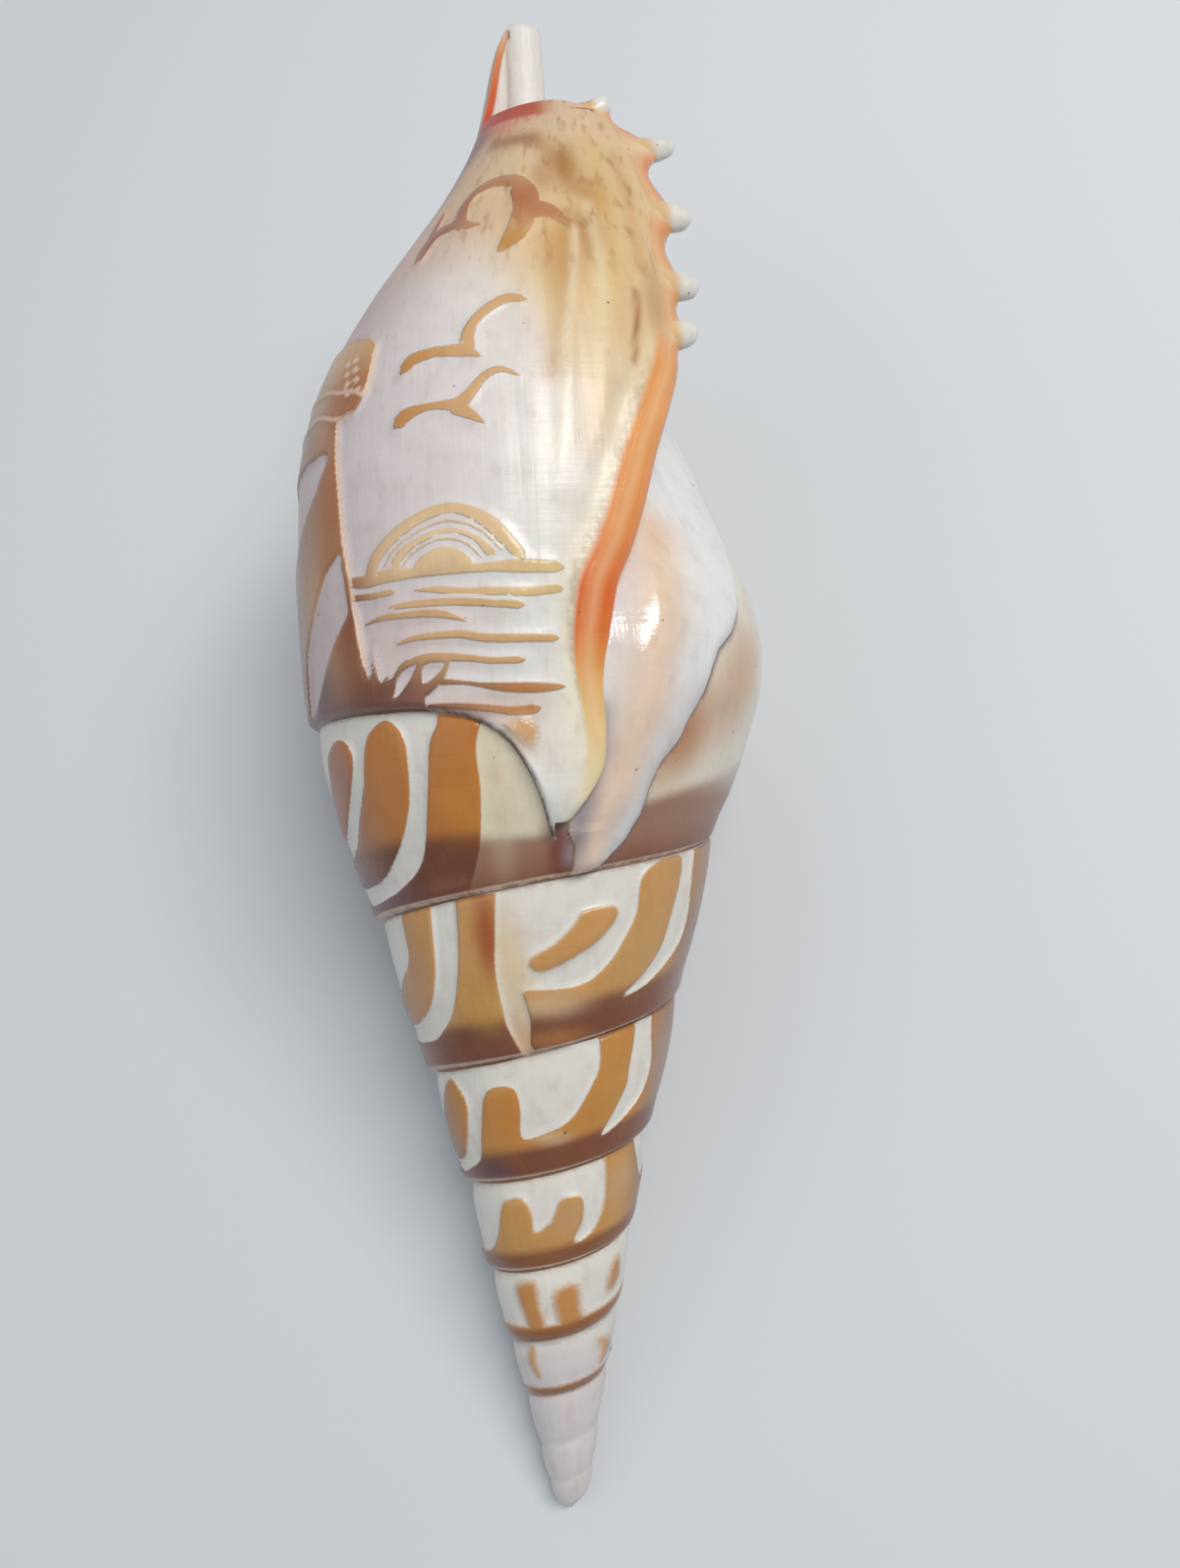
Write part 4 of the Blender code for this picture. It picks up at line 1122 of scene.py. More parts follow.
    def close(self) -> None:
        """The ends: behind the lobe, at the tip of the canal and at the apex."""
        lobe = self.columns[0][:-1].tolist() + [int(line[0]) for line in self.lip_lines]
        self.skin.faces.append(tuple(reversed(lobe)))
        one = np.array([int(line[0]) for line in self.inner])
        other = np.array([int(line[0]) for line in self.before])
        other[0] = self.rows[0][0]
        self.skin.quads(one, other)
        tip = [int(row[-1]) for row in self.rows] + [int(line[-1]) for line in self.lip_lines[1:]]
        tip += [int(line[-1]) for line in [*self.inner[1:], *reversed(self.before[1:])]]
        self.skin.faces.append(tuple(tip))
        pole = int(self.skin.add(np.array([FIRST_TURN]), np.array([0.0]), 0.0, 0.0, Place.OUTSIDE)[0])
        first = self.positions[-1]
        ring = [self.firsts[p] for p in reversed(self.positions) if p >= first - self.per_turn]
        ring += list(reversed(self.columns[first][1:-1].tolist()))
        for a, b in zip(ring, ring[1:] + ring[:1]):
            self.skin.faces.append((pole, b, a))
        self.pole = pole

    def build(self) -> "Finished":
        """Works out the whole skin."""
        self.whorls()
        self.whorl_faces()
        self.body()
        self.lip()
        self.hollow()
        self.close()
        return Finished(self)


@dataclass(frozen=True)
class Wash:
    """A colour laid over another, and how far it goes."""

    colour: str
    strength: float = 1.0

    def over(self, base: Array, share: Array) -> Array:
        """The base with this colour laid over it, point by point."""
        return blend(base, tone(self.colour), self.strength * share)


@dataclass(frozen=True)
class ShellColours:
    """Colours of the shell's surfaces under their patches."""

    # Ground of the body by angle: its own pinkish tone, with painted shade greying it toward the left outline
    # at -90 degrees
    body: Codes = (
        (-90, "BFAEAE"), (-50, "CDBFBF"), (-25, "D6CECB"), (0, "DAD7D2"), (20, "DFD7CA"), (36, "DDCCAE"),
    )
    lip: Codes = (
        (0.0, "DED9CC"), (0.04, "DFD0AC"), (0.09, "DFC48C"), (0.125, "DEB070"), (0.15, "DC8C44"),
        (0.17, "D56C26"), (0.20, "D2621F"), (0.225, "D9783A"), (0.27, "DC8848"), (0.36, "DD9450"),
        (0.44, "D48C48"), (0.52, "D08A44"), (0.60, "CF7E38"), (0.68, "CC6C2C"), (0.725, "CC7C44"),
        (0.745, "D0A488"), (0.765, "C87858"), (0.79, "BE4A2E"), (0.88, "C04424"), (0.93, "C85A30"),
        (0.97, "CC8050"), (1.0, "D0B090"),
    )
    canal_ground: Wash = Wash("C4A68A", 0.8)
    back: str = "CDB89E"
    back_foot: Wash = Wash("B08E72")
    spire: str = "D9D4CB"
    spire_tip: Wash = Wash("CEC6C4")
    natural: str = "DACFB6"
    natural_low: Wash = Wash("96705C")
    natural_pale: Wash = Wash("D9D6CF", 0.55)
    # Painted shade: a mauve-grey wash toward the right outline of the whorl before the body
    natural_outline_shade: Wash = Wash("876A68", 0.6)
    natural_foot: Wash = Wash("74462F", 0.7)
    layer: str = "CBA070"
    callus: Wash = Wash("DAD9D8")
    callus_top: str = "CFD3DA"
    hollow: Wash = Wash("CDBFB4")
    pillar: Wash = Wash("DCD6CE")
    rim_inner: Wash = Wash("DCCFB4", 0.4)
    # Painted highlight: a pale peach band along the outer edge of the lip's roll
    rim_highlight: Wash = Wash("E4BC90", 0.55)
    rim_at_points: Wash = Wash("DCC298", 0.85)
    roll: Wash = Wash("E2D3AC", 0.35)
    front: Wash = Wash("AE3C26", 0.9)
    ink: str = "DDBFA8"
    point: str = "D08A44"
    point_side: Wash = Wash("D2AE7C")
    point_tip: Wash = Wash("DAD6CE")


@dataclass(frozen=True)
class Zones:
    """Where colours begin and end, in millimetres, degrees, turns or shares."""

    canal_ground: Span = (112, 126)
    back_foot: Span = (72, 84)
    back_angle: Span = (-150, -105)
    spire_tip: Span = (14, 22)
    body_turn: Span = (6.55, 6.8)
    natural_line: tuple[float, float] = (66.8, 0.08)
    natural_low: Span = (-0.7, 0.7)
    natural_pale: Span = (26, 60)
    natural_pale_height: Span = (69, 72)
    # Angles and heights of the painted shade toward the outline of the whorl before the body
    natural_outline_shade: Span = (50, 75)
    natural_outline_shade_height: Span = (66, 71)
    natural_foot: Span = (0.4, 3.4)
    natural_start: Span = (-2.6, -1.6)
    natural_turn: Span = (5.5, 5.9)
    tint_change: float = 0.05
    # Angles at which the painted shade toward each spire whorl's outline comes in
    tint_outline_shade: Span = (40, 78)
    callus: Span = (64, 92)
    callus_edge: Span = (-0.1, 0.1)
    hollow: Span = (0.2, 1.0)
    canal_hollow: Span = (0.78, 0.84)
    lip_fades: Span = (0.0, 0.25)
    canal_fades: Span = (0.35, 0.8)
    canal: Span = (0.80, 0.86)
    rim_inner: Span = (0.55, 0.95)
    # Painted highlight along the lip's outer edge: its spread across the lip, and the lip share where it
    # starts
    rim_highlight: Span = (0.06, 0.22)
    rim_highlight_start: float = 0.08
    rim_point: float = 0.010
    rim_point_fades: Span = (0.25, 0.55)
    pillar_fades: Span = (0.25, 0.4)
    front: Span = (0.70, 0.76)
    front_fades: Span = (0.3, 2.6)
    roll_start: Span = (0.02, 0.08)
    roll_end: Span = (0.40, 0.47)
    roll_fades: Span = (0.8, 1.5)
    rim_edge: Span = (0.05, 0.3)
    front_height: float = 128
    front_left: Span = (-62, -50)
    front_right: Span = (6, 18)
    front_drop: Span = (0.2, 0.8)
    # Half width of the painted shade laid into the suture grooves
    suture_shade_width: float = 0.32
    rim_grime_at: float = 0.5
    rim_grime_width: float = 0.17
    rim_grime_start: Span = (0.06, 0.12)
    rim_grime_end: Span = (0.36, 0.42)
    stain_height: Span = (110, 121)
    stain_angle: Span = (-30, 0)
    callus_grime_at: float = 0.12
    callus_grime_width: float = 0.2
    callus_grime_height: Span = (60, 64)


@dataclass(frozen=True)
class Relief:
    """Heights of the low relief in millimetres, and where each begins and ends."""

    layer: float = 0.34
    layer_edge: Span = (-0.3, 0.15)
    stroke: float = 0.24
    stroke_edge: Span = (-0.42, 0.2)
    line: float = 0.12
    line_edge: Span = (-0.3, 0.1)
    callus: float = 0.75
    callus_edge: Span = (-0.1, 1.1)
    callus_swell: float = 0.6
    callus_low: float = 67
    clear_of_lip: Span = (2, 14)
    settle: float = 0.28
    small_turn: float = 2.6
    small_share: float = 0.4
    pinch: float = 0.035
    pinch_turns: Span = (3.2, 5.0)
    pinch_width: tuple[float, float] = (0.12, 0.25)
    ledge: float = 0.22
    ledge_at: float = 0.55
    ledge_width: float = 1.1
    ledge_height: float = 8
    ledge_turn: float = 1.5
    groove_cone: float = 8
    lip_groove: float = 0.25
    lip_groove_at: float = 0.9
    lip_groove_width: float = 0.4
    lip_groove_start: Span = (0.10, 0.16)
    lip_groove_end: Span = (0.36, 0.46)
    wave: float = 0.05
    wave_round: float = 0.9
    wave_along: float = 0.04
    wave_angle: Span = (-10, 5)
    wave_start: Span = (80, 90)
    wave_end: Span = (126, 132)


@dataclass(frozen=True)
class Ridge:
    """A low swelling along a line: whorl, points, half width and rise in millimetres."""

    whorl: int
    points: Points
    width: float
    rise: float


COLOURS = ShellColours()
ZONES = Zones()
RELIEF = Relief()
RIDGES = [
    Ridge(6, [(30.0, 88.0), *CALLUS_RUN], 1.9, 1.0),
    Ridge(7, [(17.8, 121.0), (17.2, 118.0), (15.8, 114.1), (12.7, 108.4), (10.6, 103.0),
              (8.4, 94.7)], 0.7, 0.2),
    Ridge(7, [(26.0, 124.0), (26.5, 118.0), (24.0, 111.0), (19.0, 104.0)], 1.6, 0.16),
]


class Finished:
    """The skin's points with relief and colours worked out."""

    no_depth = -4.0
    stroke_margin = 2.5
    ends_beyond = (0.75, 0.6)
    most_cover = 40.0
    soft_unit = 0.1
    ledge_line = (0.2, 0.22, 0.8, 2.4, 6.9)
    lip_points_start = (0.415, 0.445)
    lip_points_end = (0.722, 0.742)
    front_thins = 0.8
    front_start = (0.735, 0.76)
    front_end = (0.86, 0.92)
    roll_power = 0.8
    front_strength = 0.9
    scallop_power = 1.6
    scallop_full = 0.97
    scallop_least = ((0.445, 3.3), (0.60, 3.3), (0.67, 2.4), (0.70, 1.3))

    def __init__(self, source: ShellSkin) -> None:
        """Takes the laid-out skin and works out every number a point needs."""
        skin = source.skin
        self.source = source
        self.faces = skin.faces
        self.turn, self.height, self.step, self.share = (
            np.concatenate(rows) for rows in (skin.turn, skin.height, skin.step, skin.share)
        )
        self.where = np.concatenate(skin.place)
        self.outside = self.where == Place.OUTSIDE.value
        self.angles = {whorl: 360 * (self.turn - whorl) - 90 for whorl in WHORL_RADIUS}
        self.to_edge = (1 - self.share) * 360 * math.radians(WHORL_RADIUS[LAST_WHORL])
        self.figures()
        self.shape()
        self.colours()
        LOG.info("skin: %d points, %d faces", len(self.turn), len(self.faces))

    def near(self, figure: Figure, margin: float = 4.0) -> Array:
        """Numbers of the outside points close to a figure."""
        points = np.array([p[:2] for p in figure.points])
        wide = margin / math.radians(WHORL_RADIUS[figure.whorl])
        angle = self.angles[figure.whorl]
        low, high = points.min(0) - (wide, margin), points.max(0) + (wide, margin)
        inside = (angle > low[0]) & (angle < high[0]) & (self.height > low[1]) & (self.height < high[1])
        if figure.whorl < LAST_WHORL:
            after, before = self.ends_beyond
            inside &= (self.turn < figure.whorl + after) & (self.turn > figure.whorl - before)
        return np.flatnonzero(inside & self.outside)

    def figures(self) -> None:
        """How deep each point lies inside the raised layer, the fine lines and the callus."""
        size = len(self.turn)
        self.layer, self.strokes, self.line, self.callus = (np.full(size, self.no_depth) for _ in range(4))
        self.layer_soft = np.full(size, EDGE_SOFT)
        raised = gulls() + half_sun() + sea_lines() + [rounded(bar) for bar in bars()] + hidden_figures()
        self.drawn = [figure for figure in raised if len(figure.points[0]) == 3]
        self.fine = fine_lines()
        for figure in [*raised, *lighthouse(), *fine_lines(), callus()]:
            here = self.near(figure)
            depth = figure.depth_inside(self.angles[figure.whorl][here], self.height[here])
            if figure.mark is Mark.CUT:
                self.layer[here] = np.minimum(self.layer[here], -depth)
                continue
            target = {Mark.RAISED: self.layer, Mark.LINE: self.line, Mark.CALLUS: self.callus}[figure.mark]
            if figure.mark is Mark.RAISED and len(figure.points[0]) == 3:
                target = self.strokes
            elif figure.mark is Mark.RAISED:
                self.layer_soft[here] = np.where(depth > target[here], figure.soft, self.layer_soft[here])
            target[here] = np.maximum(target[here], depth)

    def stroke_corners(self, figures: list[Figure], faces: Faces) -> tuple[Array, Array, Array]:
        """Signed distance, half width and softness of the nearest stroke at every corner of every face.

        Args:
            figures: the strokes.
            faces: the mesh's faces.

        Returns:
            The three numbers for each corner, in the faces' order.
        """
        sizes = np.array([len(face) for face in faces])
        starts = np.concatenate([[0], np.cumsum(sizes)[:-1]])
        corner = np.concatenate([np.array(face) for face in faces])
        distance, width = np.full(len(corner), 5.0), np.full(len(corner), -5.0)
        soft, best = np.full(len(corner), EDGE_SOFT), np.full(len(faces), -9.0)
        close = np.zeros(len(self.turn), bool)
        for corners_each, figure in itertools.product((3, 4), figures):
            sized = np.flatnonzero(sizes == corners_each)
            sized = sized[corner[starts[sized]] < len(self.turn)]
            points = corner[starts[sized][:, None] + np.arange(corners_each)]
            close[:] = False
            close[self.near(figure, self.stroke_margin)] = True
            some = close[points].all(1)
            if not some.any():
                continue
            chosen, here = sized[some], points[some]
            corners = np.stack([self.angles[figure.whorl][here], self.height[here]], -1)
            across, half = figure.line_at(corners.mean(1), corners)
            depth = half.mean(1) - np.abs(across.mean(1))
            better = depth > best[chosen]
            chosen, across, half = chosen[better], across[better], half[better]
            best[chosen] = depth[better]
            slots = starts[chosen][:, None] + np.arange(corners_each)
            distance[slots], width[slots], soft[slots] = across, half, figure.soft
        return distance, width, soft

    def shape(self) -> None:
        """Places the points, with the relief of the carving and the callus."""
        turn, height = self.turn, self.height
        radius = FORM.radius(turn, height)
        low = height - SUTURE(turn)
        high = SUTURE(np.minimum(turn + 1, LAST_TURN)) - height
        high = np.where(turn + 1 > LAST_TURN, FAR, high)
        self.from_suture = np.where(self.outside, np.minimum(np.abs(low), np.abs(high)), FAR)
        settle = 1 - bell(self.from_suture, RELIEF.settle)
        relief = RELIEF.layer * ease(*RELIEF.layer_edge, self.layer)
        relief = relief + RELIEF.line * ease(*RELIEF.line_edge, self.line)
        relief = np.maximum(relief, RELIEF.stroke * ease(*RELIEF.stroke_edge, self.strokes))
        clear_of_lip = ease(*RELIEF.clear_of_lip, self.angles[6] - LIP_BY_HEIGHT(height))
        callus_rise = RELIEF.callus * ease(*RELIEF.callus_edge, self.callus) ** RELIEF.callus_swell
        relief += callus_rise * np.where(height > RELIEF.callus_low, clear_of_lip, 1.0)
        relief += self.ridges()
        relief *= np.where(turn > RELIEF.small_turn, 1.0, RELIEF.small_share) * settle
        by_cone, least = RELIEF.pinch_width
        pinch = RELIEF.pinch * CONE(height) * bell(self.from_suture, by_cone * CONE(height) + least)
        relief -= fall(*RELIEF.pinch_turns, turn) * pinch
        ledge = RELIEF.ledge * bell(np.maximum(low - RELIEF.ledge_at, 0), RELIEF.ledge_width) * settle
        ledge = ledge * (low < RELIEF.ledge_height) * (turn > RELIEF.ledge_turn)
        radius = np.where(self.outside, radius + relief + ledge, radius)
        firsts = np.array(sorted(self.source.firsts.values()))
        seated = turn[firsts] > SEATED_FROM
        on_whorl = FORM.radius(np.minimum(turn[firsts] - 1, SEATED_FROM), height[firsts])
        deep = ShellSkin.groove * np.minimum(1.0, CONE(height[firsts]) / RELIEF.groove_cone)
        plain = FORM.radius(turn[firsts], height[firsts]) - deep
        radius[firsts] = np.where(seated, on_whorl - ShellSkin.groove / 2, plain)
        for line, values in zip(self.source.inner[1:], self.source.inner_radius):
            radius[line] = values
        for line, values in zip(self.source.before[1:], self.source.before_radius):
            radius[line] = values
        self.radius = radius
        self.points = FORM.place(turn, height, radius)
        self.points[self.source.pole] = (0, 0, 0)
        self.bend_lip()

    def ridges(self) -> Array:
        """Low swellings: the ridge of the callus, a growth ridge behind the lip and faint axial waves."""
        result = np.zeros(len(self.turn))
        for ridge in RIDGES:
            line = Figure(ridge.whorl, [(*p, 0.0) for p in ridge.points])
            here = self.near(line, 3 * ridge.width + 1)
            distance = line.depth_inside(self.angles[ridge.whorl][here], self.height[here])
            result[here] += ridge.rise * bell(distance, ridge.width)
        groove = bell(self.to_edge - RELIEF.lip_groove_at, RELIEF.lip_groove_width)
        groove = groove * ease(*RELIEF.lip_groove_start, self.step) * fall(*RELIEF.lip_groove_end, self.step)
        result -= RELIEF.lip_groove * groove * self.outside * (self.share > 0.9)
        angle = self.angles[LAST_WHORL]
        behind_lip = ease(*RELIEF.wave_angle, angle) * ease(*RELIEF.wave_start, self.height)
        behind_lip = behind_lip * fall(*RELIEF.wave_end, self.height)
        wave = np.sin(angle * RELIEF.wave_round + RELIEF.wave_along * self.height)
        return result + RELIEF.wave * wave * behind_lip

    def bend_lip(self) -> None:
        """Rolls the lip's rows outward and round, from the outer edge to the inside."""
        lines = self.source.lip_lines
        steps = self.source.steps
        edge = self.points[lines[0]]
        angle = 2 * np.pi * (FORM.body_turn(steps, 1.0) - 7) - np.pi / 2
        outward = np.stack([np.sin(angle), 0 * angle, np.cos(angle)], -1)
        forward = np.stack([np.cos(angle), 0 * angle, -np.sin(angle)], -1)
        start, full, leave, end = ShellSkin.front_margin
        front = ease(start, full, steps) * fall(leave, end, steps)
        forward = blend(forward, np.array([0.0, 1.0, 0.0]), front)
        forward /= np.linalg.norm(forward, axis=-1, keepdims=True)
        toward, length = self.to_points(edge)
        pointed = ease(*self.lip_points_start, steps) * fall(*self.lip_points_end, steps)
        forward = blend(forward, toward, pointed)
        plain = ShellSkin.lip_reach(steps)
        reach = plain + (self.scallops(steps, length) - plain) * pointed
        thickness = ShellSkin.lip_thickness(steps)
        reach = reach * (1 - self.front_thins * ease(*self.front_start, steps) * fall(*self.front_end, steps))
        for q, line in enumerate(lines[1:], 1):
            bend = np.pi * q / (len(lines) - 1)
            out = (reach * max(math.sin(bend), 0.0) ** self.roll_power)[:, None]
            down = (thickness * (1 - math.cos(bend)) / 2)[:, None]
            self.points[line] = edge + forward * out - outward * down

    def to_points(self, edge: Array) -> tuple[Array, Array]:
        """Direction and distance from the lip's edge to its points, smooth from one to the next."""
        steps = self.source.steps
        runs = np.array([
            LipPoints.tip(point) - edge[np.argmin(np.abs(steps - point.step))] for point in LIP_POINTS
        ])
        lengths = np.linalg.norm(runs, axis=1)
        toward = np.stack([np.interp(steps, POINT_STEPS, runs[:, k] / lengths) for k in range(3)], -1)
        return toward / np.linalg.norm(toward, axis=1, keepdims=True), np.interp(steps, POINT_STEPS, lengths)

    def scallops(self, steps: Array, length: Array) -> Array:
        """Reach of the lip between its points: nearly to the tip at each point, hollowed out between them."""
        nearest = np.min([np.abs(steps - step) for step in POINT_STEPS], axis=0)
        gap = np.interp(steps, POINT_STEPS, [point.spread for point in LIP_POINTS])
        rise = np.clip(1 - nearest / gap, 0.0, 1.0) ** self.scallop_power
        least = np.interp(steps, *zip(*self.scallop_least))
        return least + (np.maximum(self.scallop_full * length, least) - least) * rise

    def tinted(self, base: Array, blushes: Sequence[Blush | Streak]) -> Array:
        """Lays soft patches over a base colour."""
        for patch in blushes:
            angle = self.angles[patch.whorl]
            weight = patch.weight(angle, self.height) * (np.abs(self.turn - patch.whorl - 0.25) < 0.5)
            base = blend(base, tone(patch.colour), weight)
        return base

    def ground_colour(self) -> Array:
        """Colour of the pale ground and of the parts left as they grew."""
        angle, before = self.angles[LAST_WHORL], self.angles[LAST_WHORL - 1]
        body = between(COLOURS.body, angle)
        body = COLOURS.canal_ground.over(body, ease(*ZONES.canal_ground, self.height))
        back = COLOURS.back_foot.over(tone(COLOURS.back), fall(*ZONES.back_foot, self.height))
        body = blend(body, back, fall(*ZONES.back_angle, angle))
        spire = COLOURS.spire_tip.over(tone(COLOURS.spire), fall(*ZONES.spire_tip, self.height))
        start, slope = ZONES.natural_line
        over_line = self.height - (start + slope * np.maximum(before, 0))
        natural = COLOURS.natural_low.over(tone(COLOURS.natural), fall(*ZONES.natural_low, over_line))
        pale = ease(*ZONES.natural_pale, before) * ease(*ZONES.natural_pale_height, self.height)
        natural = COLOURS.natural_pale.over(natural, pale)
        # Painted shade toward the right outline of the whorl before the body.
        side = ease(*ZONES.natural_outline_shade, before) * fall(*ZONES.natural_outline_shade_height, self.height)
        natural = COLOURS.natural_outline_shade.over(natural, side)
        over = self.height - SUTURE(self.turn)
        natural = COLOURS.natural_foot.over(natural, fall(*ZONES.natural_foot, over))
        past_bars = ease(*ZONES.natural_start, before - BAR_EDGE(self.height))
        past_bars = past_bars * ease(*ZONES.natural_turn, self.turn)
        colour = blend(blend(spire, natural, past_bars), body, ease(*ZONES.body_turn, self.turn))
        return self.tinted(colour, [*GROUND_BLUSHES, *GROUND_STREAKS])

    def layer_colour(self) -> Array:
        """Colour of the raised layer."""
        colour = np.broadcast_to(tone(COLOURS.layer), (len(self.turn), 3)).copy()
        low, high = SUTURE(self.turn), SUTURE(self.turn + 1)
        share = (self.height - low) / np.maximum(high - low, 1e-6)
        for whorl, tint in WHORL_TINTS.items():
            here = (self.turn > whorl - 0.27) & (self.turn <= whorl + 0.73) & (self.turn < 6.6)
            upper = ease(tint.change - ZONES.tint_change, tint.change + ZONES.tint_change, share[here])
            mix = blend(tone(tint.lower), tone(tint.upper), upper)
            # Painted shade toward the outline on both sides of each spire whorl.
            side = 0.8 * ease(*ZONES.tint_outline_shade, np.abs(self.angles[whorl][here]))
            colour[here] = blend(mix, tone(tint.side), side)
        return self.tinted(colour, LAYER_BLUSHES)

    def colours(self) -> None:
        """Colours, gloss, dirt and painted suture shade of every point."""
        lip = between(COLOURS.lip, self.step)
        callus = COLOURS.callus.over(tone(COLOURS.callus_top), ease(*ZONES.callus, self.height))
        callus = self.tinted(callus, CALLUS_STREAKS)
        self.ground = self.rim_paint(self.surfaces(lip, callus), lip)
        self.raised = blend(self.layer_colour(), callus, ease(*ZONES.callus_edge, self.callus))
        self.ink = np.broadcast_to(tone(COLOURS.ink), (len(self.turn), 3))
        self.masks()
        self.dirt_and_shade()

    def surfaces(self, lip: Array, callus: Array) -> Array:
        """Colour of each surface: the ground, the lip, the hollow and the pillar.

        Args:
            lip: the glossy lip's colour at each point.
            callus: the callus's colour at each point.

        Returns:
            The colour of each point.
        """
        inside = COLOURS.hollow.over(tone(COLOURS.callus.colour), ease(*ZONES.hollow, self.share))
        canal_side = ease(*ZONES.canal_hollow, self.step)
        fade = (1 - canal_side) * fall(*ZONES.lip_fades, self.share)
        fade = fade + canal_side * fall(*ZONES.canal_fades, self.share)
        inside = blend(inside, lip, fade * (self.where == Place.INSIDE.value))
        canal = ease(*ZONES.canal, self.step)
        rim = COLOURS.rim_inner.over(lip, ease(*ZONES.rim_inner, self.share))
        # Painted highlight: the pale band along the outer edge of the lip's roll.
        rim = COLOURS.rim_highlight.over(rim, fall(*ZONES.rim_highlight, self.share) * (self.step > ZONES.rim_highlight_start))
        from_point = np.min([np.abs(self.step - step) for step in POINT_STEPS], axis=0)
        by_points = bell(from_point, ZONES.rim_point) * fall(*ZONES.rim_point_fades, self.share)
        rim = COLOURS.rim_at_points.over(rim, by_points)
        ground = self.ground_colour()
        layers = {Place.LIP: rim, Place.INSIDE: inside, Place.BEFORE: COLOURS.pillar.over(callus, canal)}
        for place, colour in layers.items():
            ground = np.where((self.where == place.value)[:, None], colour, ground)
        near_pillar = self.outside * canal * fall(*ZONES.pillar_fades, self.share) * (self.step > 0.8)
        return COLOURS.pillar.over(ground, near_pillar)

    def rim_paint(self, ground: Array, lip: Array) -> Array:
        """The lip's colour carried on to the outside, along the rim and the front margin."""
        outer = self.outside * (self.share > 0.5) * (self.step > 0)
        front = outer * ease(*ZONES.front, self.step) * fall(*ZONES.front_fades, self.to_edge)
        ground = blend(ground, lip, front * self.front_strength)
        roll = ease(*ZONES.roll_start, self.step) * fall(*ZONES.roll_end, self.step) * outer
        ground = COLOURS.roll.over(ground, roll * fall(*ZONES.roll_fades, self.to_edge))
        ground = blend(ground, lip, roll * fall(*ZONES.rim_edge, self.to_edge))
        angle = self.angles[LAST_WHORL]
        drop = FRONT_MARGIN(angle) - self.height
        zone = self.outside * (self.height > ZONES.front_height)
        zone = zone * ease(*ZONES.front_left, angle) * fall(*ZONES.front_right, angle)
        return COLOURS.front.over(ground, zone * fall(*ZONES.front_drop, drop))

    def masks(self) -> None:
        """How far each point is inside the raised layer, the lines and the glossy parts."""
        half, middle, top, first, last = self.ledge_line
        over = self.height - SUTURE(self.turn)
        on_spire = (self.turn > first) & (self.turn < last) & self.outside
        self.line = np.where((over < top) & on_spire, half - np.abs(over - middle), self.line)
        cover = np.maximum(self.layer / self.layer_soft, self.callus / self.soft_unit)
        self.cover = np.clip(cover, -self.most_cover, self.most_cover)
        self.line = np.clip(self.line / self.soft_unit, -self.most_cover, self.most_cover)
        self.gloss = np.maximum(~self.outside * 1.0, ease(*ZONES.callus_edge, self.callus))

    def dirt_and_shade(self) -> None:
        """Painted shade in the suture grooves, grime behind the rim, a dark line round the foot of the
        callus, and stains near the canal.
        """
        # The sutures are darkened as painted shade in their grooves.
        sutures = bell(self.from_suture, ZONES.suture_shade_width) * (self.turn > 0.5)
        rim = bell(self.to_edge - ZONES.rim_grime_at, ZONES.rim_grime_width)
        rim = self.outside * (self.share > 0.9) * rim
        rim = rim * ease(*ZONES.rim_grime_start, self.step) * fall(*ZONES.rim_grime_end, self.step)
        margin = bell(self.callus + ZONES.callus_grime_at, ZONES.callus_grime_width)
        margin = margin * ease(*ZONES.callus_grime_height, self.height) * self.outside
        self.grime_and_shade = np.maximum.reduce([sutures, 0.7 * rim, 0.55 * margin])
        top = ease(*ZONES.stain_height, self.height) * ease(*ZONES.stain_angle, self.angles[LAST_WHORL])
        self.stain = self.outside * np.maximum(0.55 * top * (self.turn > 6.9), 0.12)


